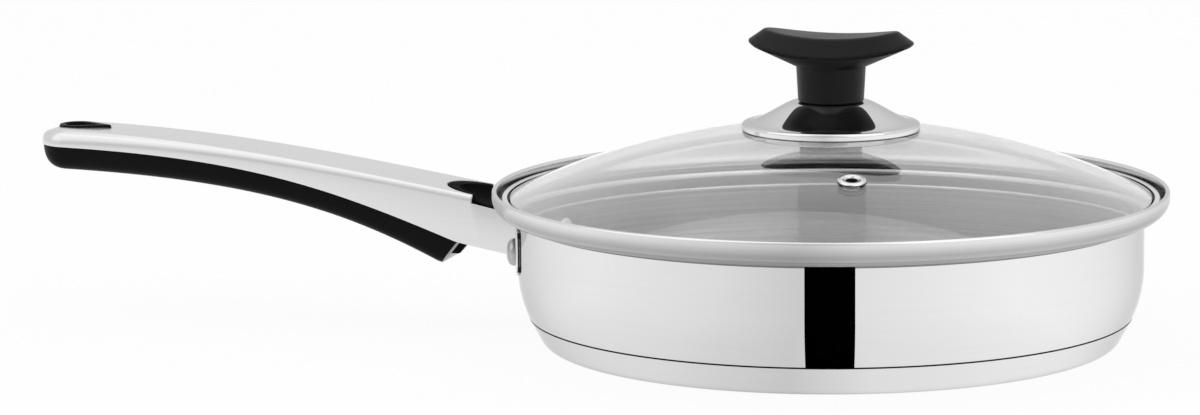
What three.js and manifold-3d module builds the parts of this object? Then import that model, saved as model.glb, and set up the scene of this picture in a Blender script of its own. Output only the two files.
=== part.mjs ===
// Frying pan with a domed glass lid: a drawn steel pan on a sandwich base, a riveted hollow handle
// with a black grip, and a lid that lifts off and turns in its seat.
// Millimetres, +Z up. The origin is the centre of the flat bottom, and the handle points along -X.

import * as THREE from "three";
import { mergeVertices } from "three/addons/utils/BufferGeometryUtils.js";
import Module from "manifold-3d";

const wasm = await Module();
wasm.setup();

// Fineness of the round shapes
const ROUND_SEGMENTS = 48;
const SMALL_SEGMENTS = 20;
const CURVE_STEPS = 2;
const FINE_STEPS = 4;
const CORNER_STEPS = 3;
const RING_POINTS = 36;
const HANDLE_STATIONS = 14;
const TIP_STATIONS = 6;
const BISECTIONS = 30;
const MERGE_TOLERANCE = 1e-4;

// Clearances between pieces
const STACK_GAP = 0.1;
const SEAT_GAP = 0.3;
const SCREW_GAP = 0.2;
const CUT_OVERRUN = 2;

// Pan body
const PAN_INNER_R = 120;
const PAN_HEIGHT = 60;
const PAN_SHEET = 0.8;
const WALL_START = 30;
const FLOOR_BLEND = 8;

// Flared rim that seats the lid
const RIM_RISE = 10;
const RIM_FLARE = 9.7;
const RIM_FILLET = 1;
const LIP_HEIGHT = 2.8;
const LIP_THICKNESS = 2;
const LIP_BLEND = 0.5;

// Sandwich base
const CAP_HEIGHT = 11.4;
const CAP_SHEET = 0.8;
const CORE_THICKNESS = 4.6;
const SEAM_INSET = 4;
const BASE_SLOPE = THREE.MathUtils.degToRad(28);
const BASE_EDGE_R = 6;

// Handle, measured out from the pan's outer wall and up from the step under the rim
const HANDLE_REACH = 201.3;
const HANDLE_HALF_WIDTH = 16.5;
const HANDLE_SHEET = 1.2;
const HANDLE_CORNER_R = 2.6;
const TIP_CORNER_R = 6;
const TIP_LENGTH = 13;
const TIP_SWEEP = THREE.MathUtils.degToRad(78);
const TIP_DROP = 5.6;
const TOP_ROOT = [0, 0.9];
const TOP_PULL_A = [84.2, 15];
const TOP_PULL_B = [134.2, 23.4];
const TOP_TIP_RISE = 24.3;
const EDGE_ROOT = [0, -19.4];
const EDGE_KNEE = [25.2, -14.5];
const EDGE_PULL_A = [79.2, 6];
const EDGE_PULL_B = [114.2, 16.5];
const EDGE_TIP_RISE = 17.7;
const GRIP_NOSE = [32.6, -23.8];
const GRIP_PULL_A = [74.2, -3.4];
const GRIP_PULL_B = [114.2, 7];
const GRIP_TIP_RISE = 8.3;
const GRIP_INSET = 0.6;
const GRIP_CORNER_R = 5;
const GRIP_TIP_ROUNDING = 0.8;
const GRIP_TONGUE = 2.2;
const TONGUE_SETBACK = 12;

// Notch in the shell's top and the black heat guard in it
const SHOULDER_REACH = 19.2;
const NOTCH_TIP_REACH = 33.4;
const NOTCH_HALF_WIDTH = 14;
const CHEEK_TOP_ROOT = [5, -2.2];
const CHEEK_TOP_SHOULDER_RISE = 0.8;
const GUARD_WALL_GAP = 2.4;
const GUARD_DISH = 1.6;
const GUARD_TAIL = 3;
const GUARD_FLOOR_RISE = 1.5;
const GUARD_FLUSH_GAP = 0.2;
const SCOOP_CENTRE = [12, 5.5];
const SCOOP_RUN = 16.5;
const SCOOP_HALF_WIDTH = 12;
const SCOOP_DEPTH = 6.5;
const LUG_OFFSET = 13.3;
const LUG_WIDTH = 2.6;
const LUG_THICKNESS = 3.2;
const LUG_DROP = 4.8;
const LUG_GRIP_GAP = 1;

// Ears of the shell and their rivets
const RIVET_OFFSET = 30.5;
const RIVET_DROP = 14.9;
const EAR_BELOW = 6.8;
const EAR_ABOVE = 11.8;
const EAR_OUTER_REACH = 18;
const EAR_SHEET = 0.8;
const EAR_CORNER_R = 4;
const RIVET_SHANK_R = 2.6;
const RIVET_HEAD_R = 5.4;
const RIVET_HEAD_HEIGHT = 3.4;
const RIVET_INNER_HEAD_R = 5.8;
const RIVET_INNER_HEAD_HEIGHT = 2.2;

// Fasteners that hold the grip in the shell
const GRIP_SCREW_REACH = 64;
const BOSS_R = 4;
const GRIP_SCREW_R = 1.7;
const GRIP_SCREW_HEAD_R = 3.6;
const GRIP_SCREW_HEAD_HEIGHT = 2.2;
const GRIP_SCREW_SINK = 0.8;
const BOSS_GRIP = 3;

// Hanging eye
const EYE_SETBACK = 13.7;
const EYE_R = 7.2;
const EYE_POINT = 14.4;
const EYE_WALL = 2.3;
const EYE_PROUD = 0.7;

// Lid band, seal and glass
const LID_GAP = 1.6;
const BAND_SHEET = 0.8;
const BAND_LIP = 2.3;
const BAND_HEIGHT = 6;
const FLANGE_RUN = 2.2;
const SKIRT_GAP = 0.8;
const SKIRT_DEPTH = 7;
const SEAL_FLOOR = 0.5;
const SEAL_REACH = 2.4;
const GLASS_THICKNESS = 4;
const DOME_RISE = 27.6;

// Steam vent
const VENT_RADIUS = 77.5;
const VENT_ANGLE = THREE.MathUtils.degToRad(-71.3);
const VENT_BARREL_R = 3.6;
const VENT_BORE_R = 2.3;
const VENT_FLANGE_R = 5.5;
const VENT_FLANGE_HEIGHT = 1.1;
const VENT_WASHER_HEIGHT = 1;
const VENT_TAIL = 0.6;

// Knob and the bell plate under it
const PLATE_R = 34.4;
const PLATE_SHEET = 0.8;
const PLATE_EDGE = 2.6;
const PLATE_EDGE_BLEND = 1.4;
const PLATE_BOSS_R = 15;
const PLATE_RISE = 10.6;
const PLATE_BRIM_PULL = 5;
const PLATE_BOSS_PULL = 2.5;
const GASKET_WIDTH = 3;
const GASKET_HEIGHT = 0.6;
const GASKET_INSET = 1.2;
const KNOB_STEM_R = 13.4;
const KNOB_FOOT_R = 12.7;
const KNOB_FOOT_BLEND = 1;
const KNOB_STEM_HEIGHT = 13.4;
const KNOB_HALF_LENGTH = 32.3;
const KNOB_HALF_DEPTH = 15.5;
const KNOB_TOP_HALF_LENGTH = 27.2;
const KNOB_TOP_HALF_DEPTH = 10.8;
const KNOB_UNDER_RISE = 3.8;
const KNOB_SIDE_RISE = 7.8;
const KNOB_EDGE_LIFT = 4.6;
const KNOB_TOP_LIFT = 2.4;
const KNOB_EDGE_BLEND = 0.8;
const KNOB_EDGE_RISE = 1.4;
const KNOB_TOP_BLEND = 0.9;
const KNOB_TOP_INNER_SHARE = 0.5;
const KNOB_ROUNDNESS = 2.2;
const STEM_ROUNDNESS = 2;

// Knob fixing through the middle of the glass
const KNOB_SCREW_R = 2.4;
const KNOB_SCREW_HEAD_R = 4.6;
const KNOB_SCREW_HEAD_HEIGHT = 2.6;
const KNOB_WASHER_R = 8;
const KNOB_WASHER_HEIGHT = 1.2;
const KNOB_SEAL_R = 8.6;
const KNOB_SEAL_HEIGHT = 1;
const GLASS_HOLE_R = 3.4;
const INSERT_R = 4.6;
const INSERT_LENGTH = 11;
const SCREW_TIP_GAP = 1;

const STEEL = { color: 0xd6d8da, roughness: 0.16, metalness: 1 };
const SATIN_STEEL = { color: 0xc6c8ca, roughness: 0.34, metalness: 1 };
const ALUMINIUM = { color: 0xb9bcc0, roughness: 0.5, metalness: 1 };
const BRASS = { color: 0xb8954a, roughness: 0.35, metalness: 1 };
const BLACK_PLASTIC = { color: 0x17181a, roughness: 0.45, metalness: 0 };
const RUBBER = { color: 0x202124, roughness: 0.7, metalness: 0 };
const GLASS = { color: 0xeef3f2, roughness: 0.03, metalness: 0, transparent: true, opacity: 0.35 };

const pan = new THREE.Group();

function addPiece(name, geometry, finish) {
  const mesh = new THREE.Mesh(geometry, new THREE.MeshStandardMaterial(finish));
  mesh.name = name;
  pan.add(mesh);
  return mesh;
}

// Solid of a closed geometry, for cutting and joining
function toSolid(geometry) {
  const bare = new THREE.BufferGeometry();
  bare.setAttribute("position", geometry.getAttribute("position"));
  bare.setIndex(geometry.index);
  const merged = mergeVertices(bare, MERGE_TOLERANCE);
  const corners = merged.index.array;
  const triangles = [];
  for (let i = 0; i < corners.length; i += 3) {
    const [a, b, c] = corners.slice(i, i + 3);
    if (a !== b && b !== c && c !== a) {
      triangles.push(a, b, c);
    }
  }
  return new wasm.Manifold(new wasm.Mesh({
    numProp: 3,
    vertProperties: merged.getAttribute("position").array,
    triVerts: Uint32Array.from(triangles),
  }));
}

function toGeometry(solid) {
  const mesh = solid.getMesh();
  const geometry = new THREE.BufferGeometry();
  geometry.setAttribute("position", new THREE.BufferAttribute(mesh.vertProperties, mesh.numProp));
  geometry.setIndex(new THREE.BufferAttribute(mesh.triVerts, 1));
  return geometry;
}

// Solid of revolution about Z, from a path of radius and height that runs counter-clockwise
function turned(path, segments = ROUND_SEGMENTS, steps = CURVE_STEPS) {
  return new THREE.LatheGeometry(path.getPoints(steps), segments).rotateX(Math.PI / 2);
}

function polygon(corners) {
  const path = new THREE.Path();
  path.setFromPoints(corners.map(([r, z]) => new THREE.Vector2(r, z)));
  return path;
}

// Ring of rectangular section between two radii and two heights
function ring(innerR, outerR, low, high, segments = ROUND_SEGMENTS) {
  const corners = [[innerR, low], [outerR, low], [outerR, high], [innerR, high], [innerR, low]];
  return turned(polygon(corners), segments);
}

function rod(radius, low, high, segments = SMALL_SEGMENTS) {
  return turned(polygon([[0, low], [radius, low], [radius, high], [0, high]]), segments);
}

// Side view of the handle pushed across its width: x is -reach from the axis, y is height
function acrossHandle(shape, halfWidth) {
  const geometry = new THREE.ExtrudeGeometry(shape, { depth: 2 * halfWidth, bevelEnabled: false });
  return geometry.translate(0, 0, -halfWidth).rotateX(Math.PI / 2);
}

function upright(shape, low, high, curveSegments) {
  const options = { depth: high - low, bevelEnabled: false, curveSegments };
  return new THREE.ExtrudeGeometry(shape, options).translate(0, 0, low);
}

function centreOf(points) {
  const sum = points.reduce((total, point) => total.add(point), new THREE.Vector3());
  return sum.divideScalar(points.length);
}

// Closed skin over rings with equal numbers of points, with a fan at each end
function loft(rings) {
  const count = rings[0].length;
  const topStart = (rings.length - 1) * count;
  const points = rings.flat();
  const firstCentre = points.length;
  const lastCentre = firstCentre + 1;
  const index = [];
  for (let start = 0; start < topStart; start += count) {
    for (let i = 0; i < count; i++) {
      const a = start + i;
      const b = start + (i + 1) % count;
      index.push(a, b, b + count, a, b + count, a + count);
    }
  }
  for (let i = 0; i < count; i++) {
    const next = (i + 1) % count;
    index.push(firstCentre, next, i);
    index.push(lastCentre, topStart + i, topStart + next);
  }
  points.push(centreOf(rings[0]), centreOf(rings.at(-1)));
  return new THREE.BufferGeometry().setFromPoints(points).setIndex(index);
}

// Heights and radii of the pan that other pieces share
const wallOuterR = PAN_INNER_R + PAN_SHEET;
const coreLow = CAP_SHEET + STACK_GAP;
const coreHigh = coreLow + CORE_THICKNESS;
const panUnder = coreHigh + STACK_GAP;
const floorZ = panUnder + PAN_SHEET;
const seamZ = CAP_HEIGHT + SEAT_GAP;
const seamR = wallOuterR - SEAM_INSET;
const capInnerTopR = seamR - CAP_SHEET / Math.cos(BASE_SLOPE);
const stepZ = PAN_HEIGHT - RIM_RISE;
const lipStartZ = PAN_HEIGHT - LIP_HEIGHT;
const rimCentreR = wallOuterR + RIM_FILLET;
const lipOuterR = wallOuterR + RIM_FLARE;
const lipInnerR = lipOuterR - LIP_THICKNESS;
const dishRun = RIM_FLARE - RIM_FILLET - PAN_SHEET;
const dishDepth = RIM_RISE - LIP_HEIGHT - PAN_SHEET;

// Height of the dished seat inside the rim
function seatZ(radius) {
  const share = (radius - rimCentreR) / dishRun;
  return lipStartZ - dishDepth * Math.sqrt(1 - share * share);
}

// Radius of a circle that is upright at the wall's start and passes a given inset and drop
function cornerRadius(inset, drop) {
  return (inset * inset + drop * drop) / (2 * inset);
}

const rivetZ = stepZ - RIVET_DROP;
const rivetAngle = Math.asin(RIVET_OFFSET / wallOuterR);
const earInnerR = wallOuterR + STACK_GAP;
const earOuterR = earInnerR + EAR_SHEET;

// Places a turned piece that lies along Z on a rivet's line, pointing out of the pan
function alongRivet(geometry, side) {
  const turn = Math.PI - side * rivetAngle;
  return geometry.rotateY(Math.PI / 2).rotateZ(turn).translate(0, 0, rivetZ);
}

function panShell() {
  const drop = WALL_START - seamZ;
  const outerCornerR = cornerRadius(SEAM_INSET, drop);
  const cornerTurn = Math.asin(drop / outerCornerR);
  const stepR = capInnerTopR - STACK_GAP;
  const innerSeamR = stepR - PAN_SHEET / Math.cos(BASE_SLOPE);
  const innerInset = PAN_INNER_R - innerSeamR;
  const innerCornerR = cornerRadius(innerInset, drop);
  const innerTurn = Math.asin(drop / innerCornerR);
  const innerPullR = innerSeamR - (seamZ - floorZ) * Math.tan(innerTurn);
  const underPullR = stepR - (seamZ - panUnder) * Math.tan(innerTurn);
  const floorR = innerPullR - FLOOR_BLEND;
  const lipTopR = LIP_THICKNESS / 2;
  const flareRun = RIM_FLARE - RIM_FILLET;
  const flareRise = RIM_RISE - LIP_HEIGHT;
  const path = new THREE.Path();
  path.moveTo(0, panUnder);
  path.lineTo(floorR, panUnder);
  path.quadraticCurveTo(underPullR, panUnder, stepR, seamZ);
  path.lineTo(seamR, seamZ);
  path.absarc(wallOuterR - outerCornerR, WALL_START, outerCornerR, -cornerTurn, 0, false);
  path.absarc(rimCentreR, stepZ - RIM_FILLET, RIM_FILLET, Math.PI, Math.PI / 2, true);
  path.absellipse(rimCentreR, lipStartZ, flareRun, flareRise, -Math.PI / 2, 0, false, 0);
  path.absarc(lipOuterR - lipTopR, PAN_HEIGHT - lipTopR, lipTopR, 0, Math.PI, false);
  path.lineTo(lipInnerR, lipStartZ + LIP_BLEND);
  path.absellipse(rimCentreR, lipStartZ, dishRun, dishDepth, 0, -Math.PI / 2, true, 0);
  path.absarc(rimCentreR, stepZ - RIM_FILLET, RIM_FILLET + PAN_SHEET, Math.PI / 2, Math.PI, false);
  path.absarc(PAN_INNER_R - innerCornerR, WALL_START, innerCornerR, 0, -innerTurn, true);
  path.quadraticCurveTo(innerPullR, floorZ, floorR, floorZ);
  path.lineTo(0, floorZ);
  let solid = toSolid(turned(path));
  for (const side of [-1, 1]) {
    const hole = rod(RIVET_SHANK_R + SCREW_GAP, PAN_INNER_R - CUT_OVERRUN, wallOuterR + CUT_OVERRUN);
    solid = solid.subtract(toSolid(alongRivet(hole, side)));
  }
  addPiece("pan_shell", toGeometry(solid), STEEL);
  return floorR;
}

// Steel capsule under the base: a flat, a rounded edge and a cone up to the seam
function baseCap() {
  const sweep = Math.PI / 2 - BASE_SLOPE;
  const coneHeight = CAP_HEIGHT - BASE_EDGE_R * (1 - Math.cos(sweep));
  const flatR = seamR - coneHeight * Math.tan(BASE_SLOPE) - BASE_EDGE_R * Math.sin(sweep);
  const down = -Math.PI / 2;
  const path = new THREE.Path();
  path.moveTo(0, 0);
  path.lineTo(flatR, 0);
  path.absarc(flatR, BASE_EDGE_R, BASE_EDGE_R, down, down + sweep, false);
  path.lineTo(seamR, CAP_HEIGHT);
  path.lineTo(capInnerTopR, CAP_HEIGHT);
  path.absarc(flatR, BASE_EDGE_R, BASE_EDGE_R - CAP_SHEET, down + sweep, down, true);
  path.lineTo(0, CAP_SHEET);
  addPiece("base_cap", turned(path), STEEL);
}

// Side lines of the handle, as reach from the pan's axis and height
function sidePoint([reach, rise]) {
  return new THREE.Vector2(wallOuterR + reach, stepZ + rise);
}

function sideCurve(start, pullA, pullB, tipRise) {
  const tip = sidePoint([HANDLE_REACH, tipRise]);
  return new THREE.CubicBezierCurve(sidePoint(start), sidePoint(pullA), sidePoint(pullB), tip);
}

const topLine = sideCurve(TOP_ROOT, TOP_PULL_A, TOP_PULL_B, TOP_TIP_RISE);
const edgeLine = new THREE.CurvePath();
edgeLine.add(new THREE.LineCurve(sidePoint(EDGE_ROOT), sidePoint(EDGE_KNEE)));
edgeLine.add(sideCurve(EDGE_KNEE, EDGE_PULL_A, EDGE_PULL_B, EDGE_TIP_RISE));
const gripLine = sideCurve(GRIP_NOSE, GRIP_PULL_A, GRIP_PULL_B, GRIP_TIP_RISE);

function heightAt(line, reach) {
  let low = 0;
  let high = 1;
  for (let i = 0; i < BISECTIONS; i++) {
    const middle = (low + high) / 2;
    if (line.getPoint(middle).x < reach) {
      low = middle;
    } else {
      high = middle;
    }
  }
  return line.getPoint(low).y;
}

const tipS = wallOuterR + HANDLE_REACH;
const eyeS = tipS - EYE_SETBACK;
const aboveHandle = stepZ + TOP_TIP_RISE + CUT_OVERRUN;
const noseS = sidePoint(GRIP_NOSE).x;
const kneeS = sidePoint(EDGE_KNEE).x;

// Stations along the handle, with the share of the full width that the rounded tip leaves
function stations(startS, inset) {
  const bendS = tipS - TIP_LENGTH;
  const list = [];
  for (let i = 0; i < HANDLE_STATIONS; i++) {
    list.push({ s: THREE.MathUtils.lerp(startS, bendS, i / HANDLE_STATIONS), share: 1, tip: 0 });
  }
  for (let i = 0; i <= TIP_STATIONS; i++) {
    const turn = TIP_SWEEP * i / TIP_STATIONS;
    const s = bendS + (TIP_LENGTH - inset) * Math.sin(turn) / Math.sin(TIP_SWEEP);
    list.push({ s, share: Math.cos(turn), tip: 1 - Math.cos(turn) });
  }
  return list;
}

// Radius of the shell's top corners, which soften towards the tip
function cornerAt(s) {
  const share = Math.max(0, (s - wallOuterR) / HANDLE_REACH);
  return THREE.MathUtils.lerp(HANDLE_CORNER_R, TIP_CORNER_R, share * share);
}

// One arched section of the handle, square below and rounded above, or the other way up
function archRing(s, halfWidth, square, round, cornerR) {
  const flip = Math.sign(round - square);
  const corner = Math.min(cornerR, halfWidth, Math.abs(round - square));
  const points = [new THREE.Vector3(-s, -halfWidth, square)];
  for (const side of [-1, 1]) {
    for (let i = 0; i <= CORNER_STEPS; i++) {
      const turn = (side < 0 ? i : CORNER_STEPS - i) / CORNER_STEPS * Math.PI / 2;
      const y = side * (halfWidth - corner + corner * Math.cos(turn));
      points.push(new THREE.Vector3(-s, y, round - flip * corner * (1 - Math.sin(turn))));
    }
  }
  points.push(new THREE.Vector3(-s, halfWidth, square));
  return flip > 0 ? points : points.reverse();
}

// Hanging hole's outline: round towards the tip, pointed towards the pan
function teardrop(offset) {
  const radius = EYE_R + offset;
  const lean = Math.acos(EYE_R / EYE_POINT);
  const shape = new THREE.Shape();
  shape.moveTo(radius / Math.cos(lean), 0);
  shape.lineTo(radius * Math.cos(lean), radius * Math.sin(lean));
  shape.absarc(0, 0, radius, lean, 2 * Math.PI - lean, false);
  shape.closePath();
  return shape;
}

function eyeColumn(offset, low, high) {
  return upright(teardrop(offset), low, high, FINE_STEPS).translate(-eyeS, 0, 0);
}

// Solid above the cheeks: all of it beside the pan, and the rounded notch in the shell's top
function notchSolid(inset) {
  const shoulderS = wallOuterR + SHOULDER_REACH;
  const shoulderZ = stepZ + CHEEK_TOP_SHOULDER_RISE;
  const root = sidePoint(CHEEK_TOP_ROOT);
  const fall = (shoulderZ - root.y) / (shoulderS - root.x);
  const startS = PAN_INNER_R - CUT_OVERRUN;
  const side = new THREE.Shape();
  side.moveTo(-shoulderS, shoulderZ);
  side.lineTo(-startS, root.y - fall * (root.x - startS));
  side.lineTo(-startS, aboveHandle);
  side.lineTo(-shoulderS, aboveHandle);
  side.closePath();
  const run = NOTCH_TIP_REACH - SHOULDER_REACH - inset;
  const quarter = Math.PI / 2;
  const point = new THREE.Shape();
  point.absellipse(-shoulderS, 0, run, NOTCH_HALF_WIDTH - inset, quarter, 3 * quarter, false, 0);
  point.closePath();
  const open = toSolid(acrossHandle(side, HANDLE_HALF_WIDTH + CUT_OVERRUN));
  return open.add(toSolid(upright(point, shoulderZ, aboveHandle, FINE_STEPS)));
}

// Ear of the shell that follows the wall past one rivet
function ear(side) {
  const outer = -side * EAR_OUTER_REACH;
  const inner = side * (RIVET_OFFSET - HANDLE_HALF_WIDTH + HANDLE_SHEET);
  const bend = outer + side * EAR_CORNER_R;
  const plate = new THREE.Shape();
  plate.moveTo(inner, -EAR_BELOW);
  plate.lineTo(inner, EAR_ABOVE);
  plate.lineTo(bend, EAR_ABOVE);
  plate.quadraticCurveTo(outer, EAR_ABOVE, outer, EAR_ABOVE - EAR_CORNER_R);
  plate.lineTo(outer, EAR_CORNER_R - EAR_BELOW);
  plate.quadraticCurveTo(outer, -EAR_BELOW, bend, -EAR_BELOW);
  plate.closePath();
  const block = upright(plate, 0, earOuterR, FINE_STEPS).rotateX(Math.PI / 2);
  block.rotateZ(-Math.PI / 2 - side * rivetAngle).translate(0, 0, rivetZ);
  const sheet = ring(earInnerR, earOuterR, 0, PAN_HEIGHT, 2 * ROUND_SEGMENTS);
  return toSolid(block).intersect(toSolid(sheet));
}

function handleShell() {
  const startS = PAN_INNER_R - CUT_OVERRUN;
  const outerRings = stations(startS, 0).map(({ s, share, tip }) => {
    const top = heightAt(topLine, s) - TIP_DROP * tip;
    return archRing(s, HANDLE_HALF_WIDTH * share, heightAt(edgeLine, s), top, cornerAt(s));
  });
  const innerRings = stations(startS - CUT_OVERRUN, HANDLE_SHEET).map(({ s, share, tip }) => {
    const halfWidth = (HANDLE_HALF_WIDTH - HANDLE_SHEET) * share;
    const top = heightAt(topLine, s) - TIP_DROP * tip - HANDLE_SHEET;
    const low = heightAt(edgeLine, s) - HANDLE_HALF_WIDTH;
    return archRing(s, halfWidth, low, top, cornerAt(s) - HANDLE_SHEET);
  });
  const wall = rod(earInnerR, 0, aboveHandle, 2 * ROUND_SEGMENTS);
  let solid = toSolid(loft(outerRings)).subtract(toSolid(loft(innerRings)));
  solid = solid.subtract(notchSolid(0)).subtract(toSolid(wall));
  solid = solid.subtract(toSolid(eyeColumn(SEAT_GAP, stepZ, aboveHandle)));
  for (const side of [-1, 1]) {
    const hole = rod(RIVET_SHANK_R + SCREW_GAP, earInnerR - CUT_OVERRUN, earOuterR + CUT_OVERRUN);
    solid = solid.add(ear(side)).subtract(toSolid(alongRivet(hole, side)));
  }
  addPiece("handle_shell", toGeometry(solid), SATIN_STEEL);
}

// Rivet through ear and wall, with a domed head on each side
function rivet(name, side) {
  const hollow = PAN_INNER_R - Math.sqrt(PAN_INNER_R ** 2 - RIVET_INNER_HEAD_R ** 2);
  const innerSeat = PAN_INNER_R - hollow - SEAT_GAP;
  const outerSeat = earOuterR + STACK_GAP;
  const path = new THREE.Path();
  const quarter = Math.PI / 2;
  path.moveTo(0, innerSeat - RIVET_INNER_HEAD_HEIGHT);
  path.absellipse(0, innerSeat, RIVET_INNER_HEAD_R, RIVET_INNER_HEAD_HEIGHT, -quarter, 0, false, 0);
  path.lineTo(RIVET_SHANK_R, innerSeat);
  path.lineTo(RIVET_SHANK_R, outerSeat);
  path.absellipse(0, outerSeat, RIVET_HEAD_R, RIVET_HEAD_HEIGHT, 0, quarter, false, 0);
  addPiece(name, alongRivet(turned(path, SMALL_SEGMENTS), side), STEEL);
}

const gripHalfWidth = HANDLE_HALF_WIDTH - GRIP_INSET;
const tongueHalfWidth = HANDLE_HALF_WIDTH - HANDLE_SHEET - SEAT_GAP;

function tongueTop(s) {
  return heightAt(edgeLine, s) + GRIP_TONGUE;
}

// Seat of the grip screw's head, up inside the grip
const screwS = wallOuterR + GRIP_SCREW_REACH;
const screwSeat = heightAt(gripLine, screwS) + GRIP_SCREW_SINK + GRIP_SCREW_HEAD_HEIGHT;

// Slanted front of the grip, from its nose up to the knee in the shell's edge
function gripFrontS(z) {
  const nose = sidePoint(GRIP_NOSE);
  const knee = sidePoint(EDGE_KNEE);
  return nose.x + (z - nose.y) * (knee.x - nose.x) / (knee.y - nose.y);
}

function handleGrip() {
  const bodyRings = stations(kneeS - CUT_OVERRUN, GRIP_INSET).map(({ s, share, tip }) => {
    const top = heightAt(edgeLine, s) - SEAT_GAP;
    const depth = (top - heightAt(gripLine, s)) * (1 - tip) ** GRIP_TIP_ROUNDING;
    return archRing(s, gripHalfWidth * share, top, top - depth, GRIP_CORNER_R);
  });
  const tongueInset = HANDLE_SHEET + SEAT_GAP;
  const tongueStations = stations(noseS + TONGUE_SETBACK, tongueInset).filter(({ tip }) => tip === 0);
  const tongueRings = tongueStations.map(({ s }) => {
    const low = heightAt(edgeLine, s) - SEAT_GAP - GRIP_INSET;
    return archRing(s, tongueHalfWidth, low, tongueTop(s), GRIP_INSET);
  });
  const front = new THREE.Shape();
  front.moveTo(-gripFrontS(0), 0);
  front.lineTo(0, 0);
  front.lineTo(0, aboveHandle);
  front.lineTo(-gripFrontS(aboveHandle), aboveHandle);
  front.closePath();
  let solid = toSolid(loft(bodyRings)).subtract(toSolid(acrossHandle(front, HANDLE_HALF_WIDTH)));
  solid = solid.add(toSolid(loft(tongueRings)));
  solid = solid.subtract(toSolid(eyeColumn(SEAT_GAP, 0, aboveHandle)));
  const well = rod(GRIP_SCREW_HEAD_R + SCREW_GAP, 0, screwSeat);
  const hole = rod(GRIP_SCREW_R + SCREW_GAP, 0, aboveHandle);
  solid = solid.subtract(toSolid(well.translate(-screwS, 0, 0)));
  solid = solid.subtract(toSolid(hole.translate(-screwS, 0, 0)));
  addPiece("handle_grip", toGeometry(solid), BLACK_PLASTIC);
}

// Threaded boss under the shell's top, and the screw that draws the grip up to it
function gripFixing() {
  const shellUnder = heightAt(topLine, screwS - BOSS_R) - HANDLE_SHEET - SEAT_GAP;
  const bossLow = tongueTop(screwS + BOSS_R) + SEAT_GAP;
  const boss = ring(GRIP_SCREW_R + STACK_GAP, BOSS_R, bossLow, shellUnder, SMALL_SEGMENTS);
  addPiece("grip_boss", boss.translate(-screwS, 0, 0), SATIN_STEEL);
  const seat = screwSeat - STACK_GAP;
  const headLow = seat - GRIP_SCREW_HEAD_HEIGHT;
  const outline = [
    [0, headLow],
    [GRIP_SCREW_HEAD_R, headLow],
    [GRIP_SCREW_HEAD_R, seat],
    [GRIP_SCREW_R, seat],
    [GRIP_SCREW_R, bossLow + BOSS_GRIP],
    [0, bossLow + BOSS_GRIP],
  ];
  const screw = turned(polygon(outline), SMALL_SEGMENTS);
  addPiece("grip_screw", screw.translate(-screwS, 0, 0), SATIN_STEEL);
}

// Black insert between the cheeks, flush with the shell in the notch and dished beside the pan
function heatGuard() {
  const frontS = wallOuterR + GUARD_WALL_GAP;
  const shoulderS = wallOuterR + SHOULDER_REACH;
  const tailS = wallOuterR + NOTCH_TIP_REACH + GUARD_TAIL;
  const lowAt = (s) => heightAt(edgeLine, s) + GUARD_FLOOR_RISE;
  const underAt = (s) => heightAt(topLine, s) - HANDLE_CORNER_R - SEAT_GAP;
  const flushAt = (s) => heightAt(topLine, s) - GUARD_FLUSH_GAP;
  const shoulderZ = stepZ + CHEEK_TOP_SHOULDER_RISE;
  const side = new THREE.Shape();
  side.moveTo(-frontS, lowAt(frontS));
  side.lineTo(-frontS, stepZ + CHEEK_TOP_ROOT[1] - GUARD_DISH);
  side.lineTo(-shoulderS, shoulderZ);
  side.lineTo(-shoulderS, underAt(shoulderS));
  side.lineTo(-tailS, underAt(tailS));
  side.lineTo(-tailS, lowAt(tailS));
  side.lineTo(-kneeS, lowAt(kneeS));
  side.closePath();
  const tongueSide = new THREE.Shape();
  const tongueEndS = wallOuterR + NOTCH_TIP_REACH;
  const tongueStartS = (frontS + shoulderS) / 2;
  tongueSide.moveTo(-tongueStartS, shoulderZ - GUARD_DISH);
  tongueSide.quadraticCurveTo(-shoulderS, shoulderZ, -shoulderS, flushAt(shoulderS));
  tongueSide.lineTo(-tongueEndS, flushAt(tongueEndS));
  tongueSide.lineTo(-tongueEndS, shoulderZ - GUARD_DISH);
  tongueSide.closePath();
  const lugLow = sidePoint(EDGE_KNEE).y - LUG_DROP;
  const lugHigh = lowAt(kneeS) + GUARD_FLOOR_RISE;
  const backAt = (z) => gripFrontS(z) - LUG_GRIP_GAP;
  const lug = new THREE.Shape();
  lug.moveTo(-backAt(lugLow), lugLow);
  lug.lineTo(LUG_THICKNESS - backAt(lugLow), lugLow);
  lug.lineTo(LUG_THICKNESS - backAt(lugHigh), lugHigh);
  lug.lineTo(-backAt(lugHigh), lugHigh);
  lug.closePath();
  const scoop = new THREE.SphereGeometry(1, SMALL_SEGMENTS, SMALL_SEGMENTS);
  const scoopAt = sidePoint(SCOOP_CENTRE);
  scoop.scale(SCOOP_RUN, SCOOP_HALF_WIDTH, SCOOP_DEPTH).translate(-scoopAt.x, 0, scoopAt.y);
  const tongue = toSolid(acrossHandle(tongueSide, tongueHalfWidth)).intersect(notchSolid(SEAT_GAP));
  let solid = toSolid(acrossHandle(side, tongueHalfWidth)).add(tongue).subtract(toSolid(scoop));
  for (const side of [-1, 1]) {
    const foot = acrossHandle(lug, LUG_WIDTH / 2).translate(0, side * LUG_OFFSET, 0);
    solid = solid.add(toSolid(foot));
  }
  addPiece("heat_guard", toGeometry(solid), BLACK_PLASTIC);
}

function hangingEye() {
  const low = heightAt(gripLine, eyeS);
  const high = heightAt(topLine, eyeS) + EYE_PROUD;
  const sleeve = toSolid(eyeColumn(0, low, high));
  const hole = toSolid(eyeColumn(-EYE_WALL, low - CUT_OVERRUN, high + CUT_OVERRUN));
  addPiece("hanging_eye", toGeometry(sleeve.subtract(hole)), BLACK_PLASTIC);
}

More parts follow.
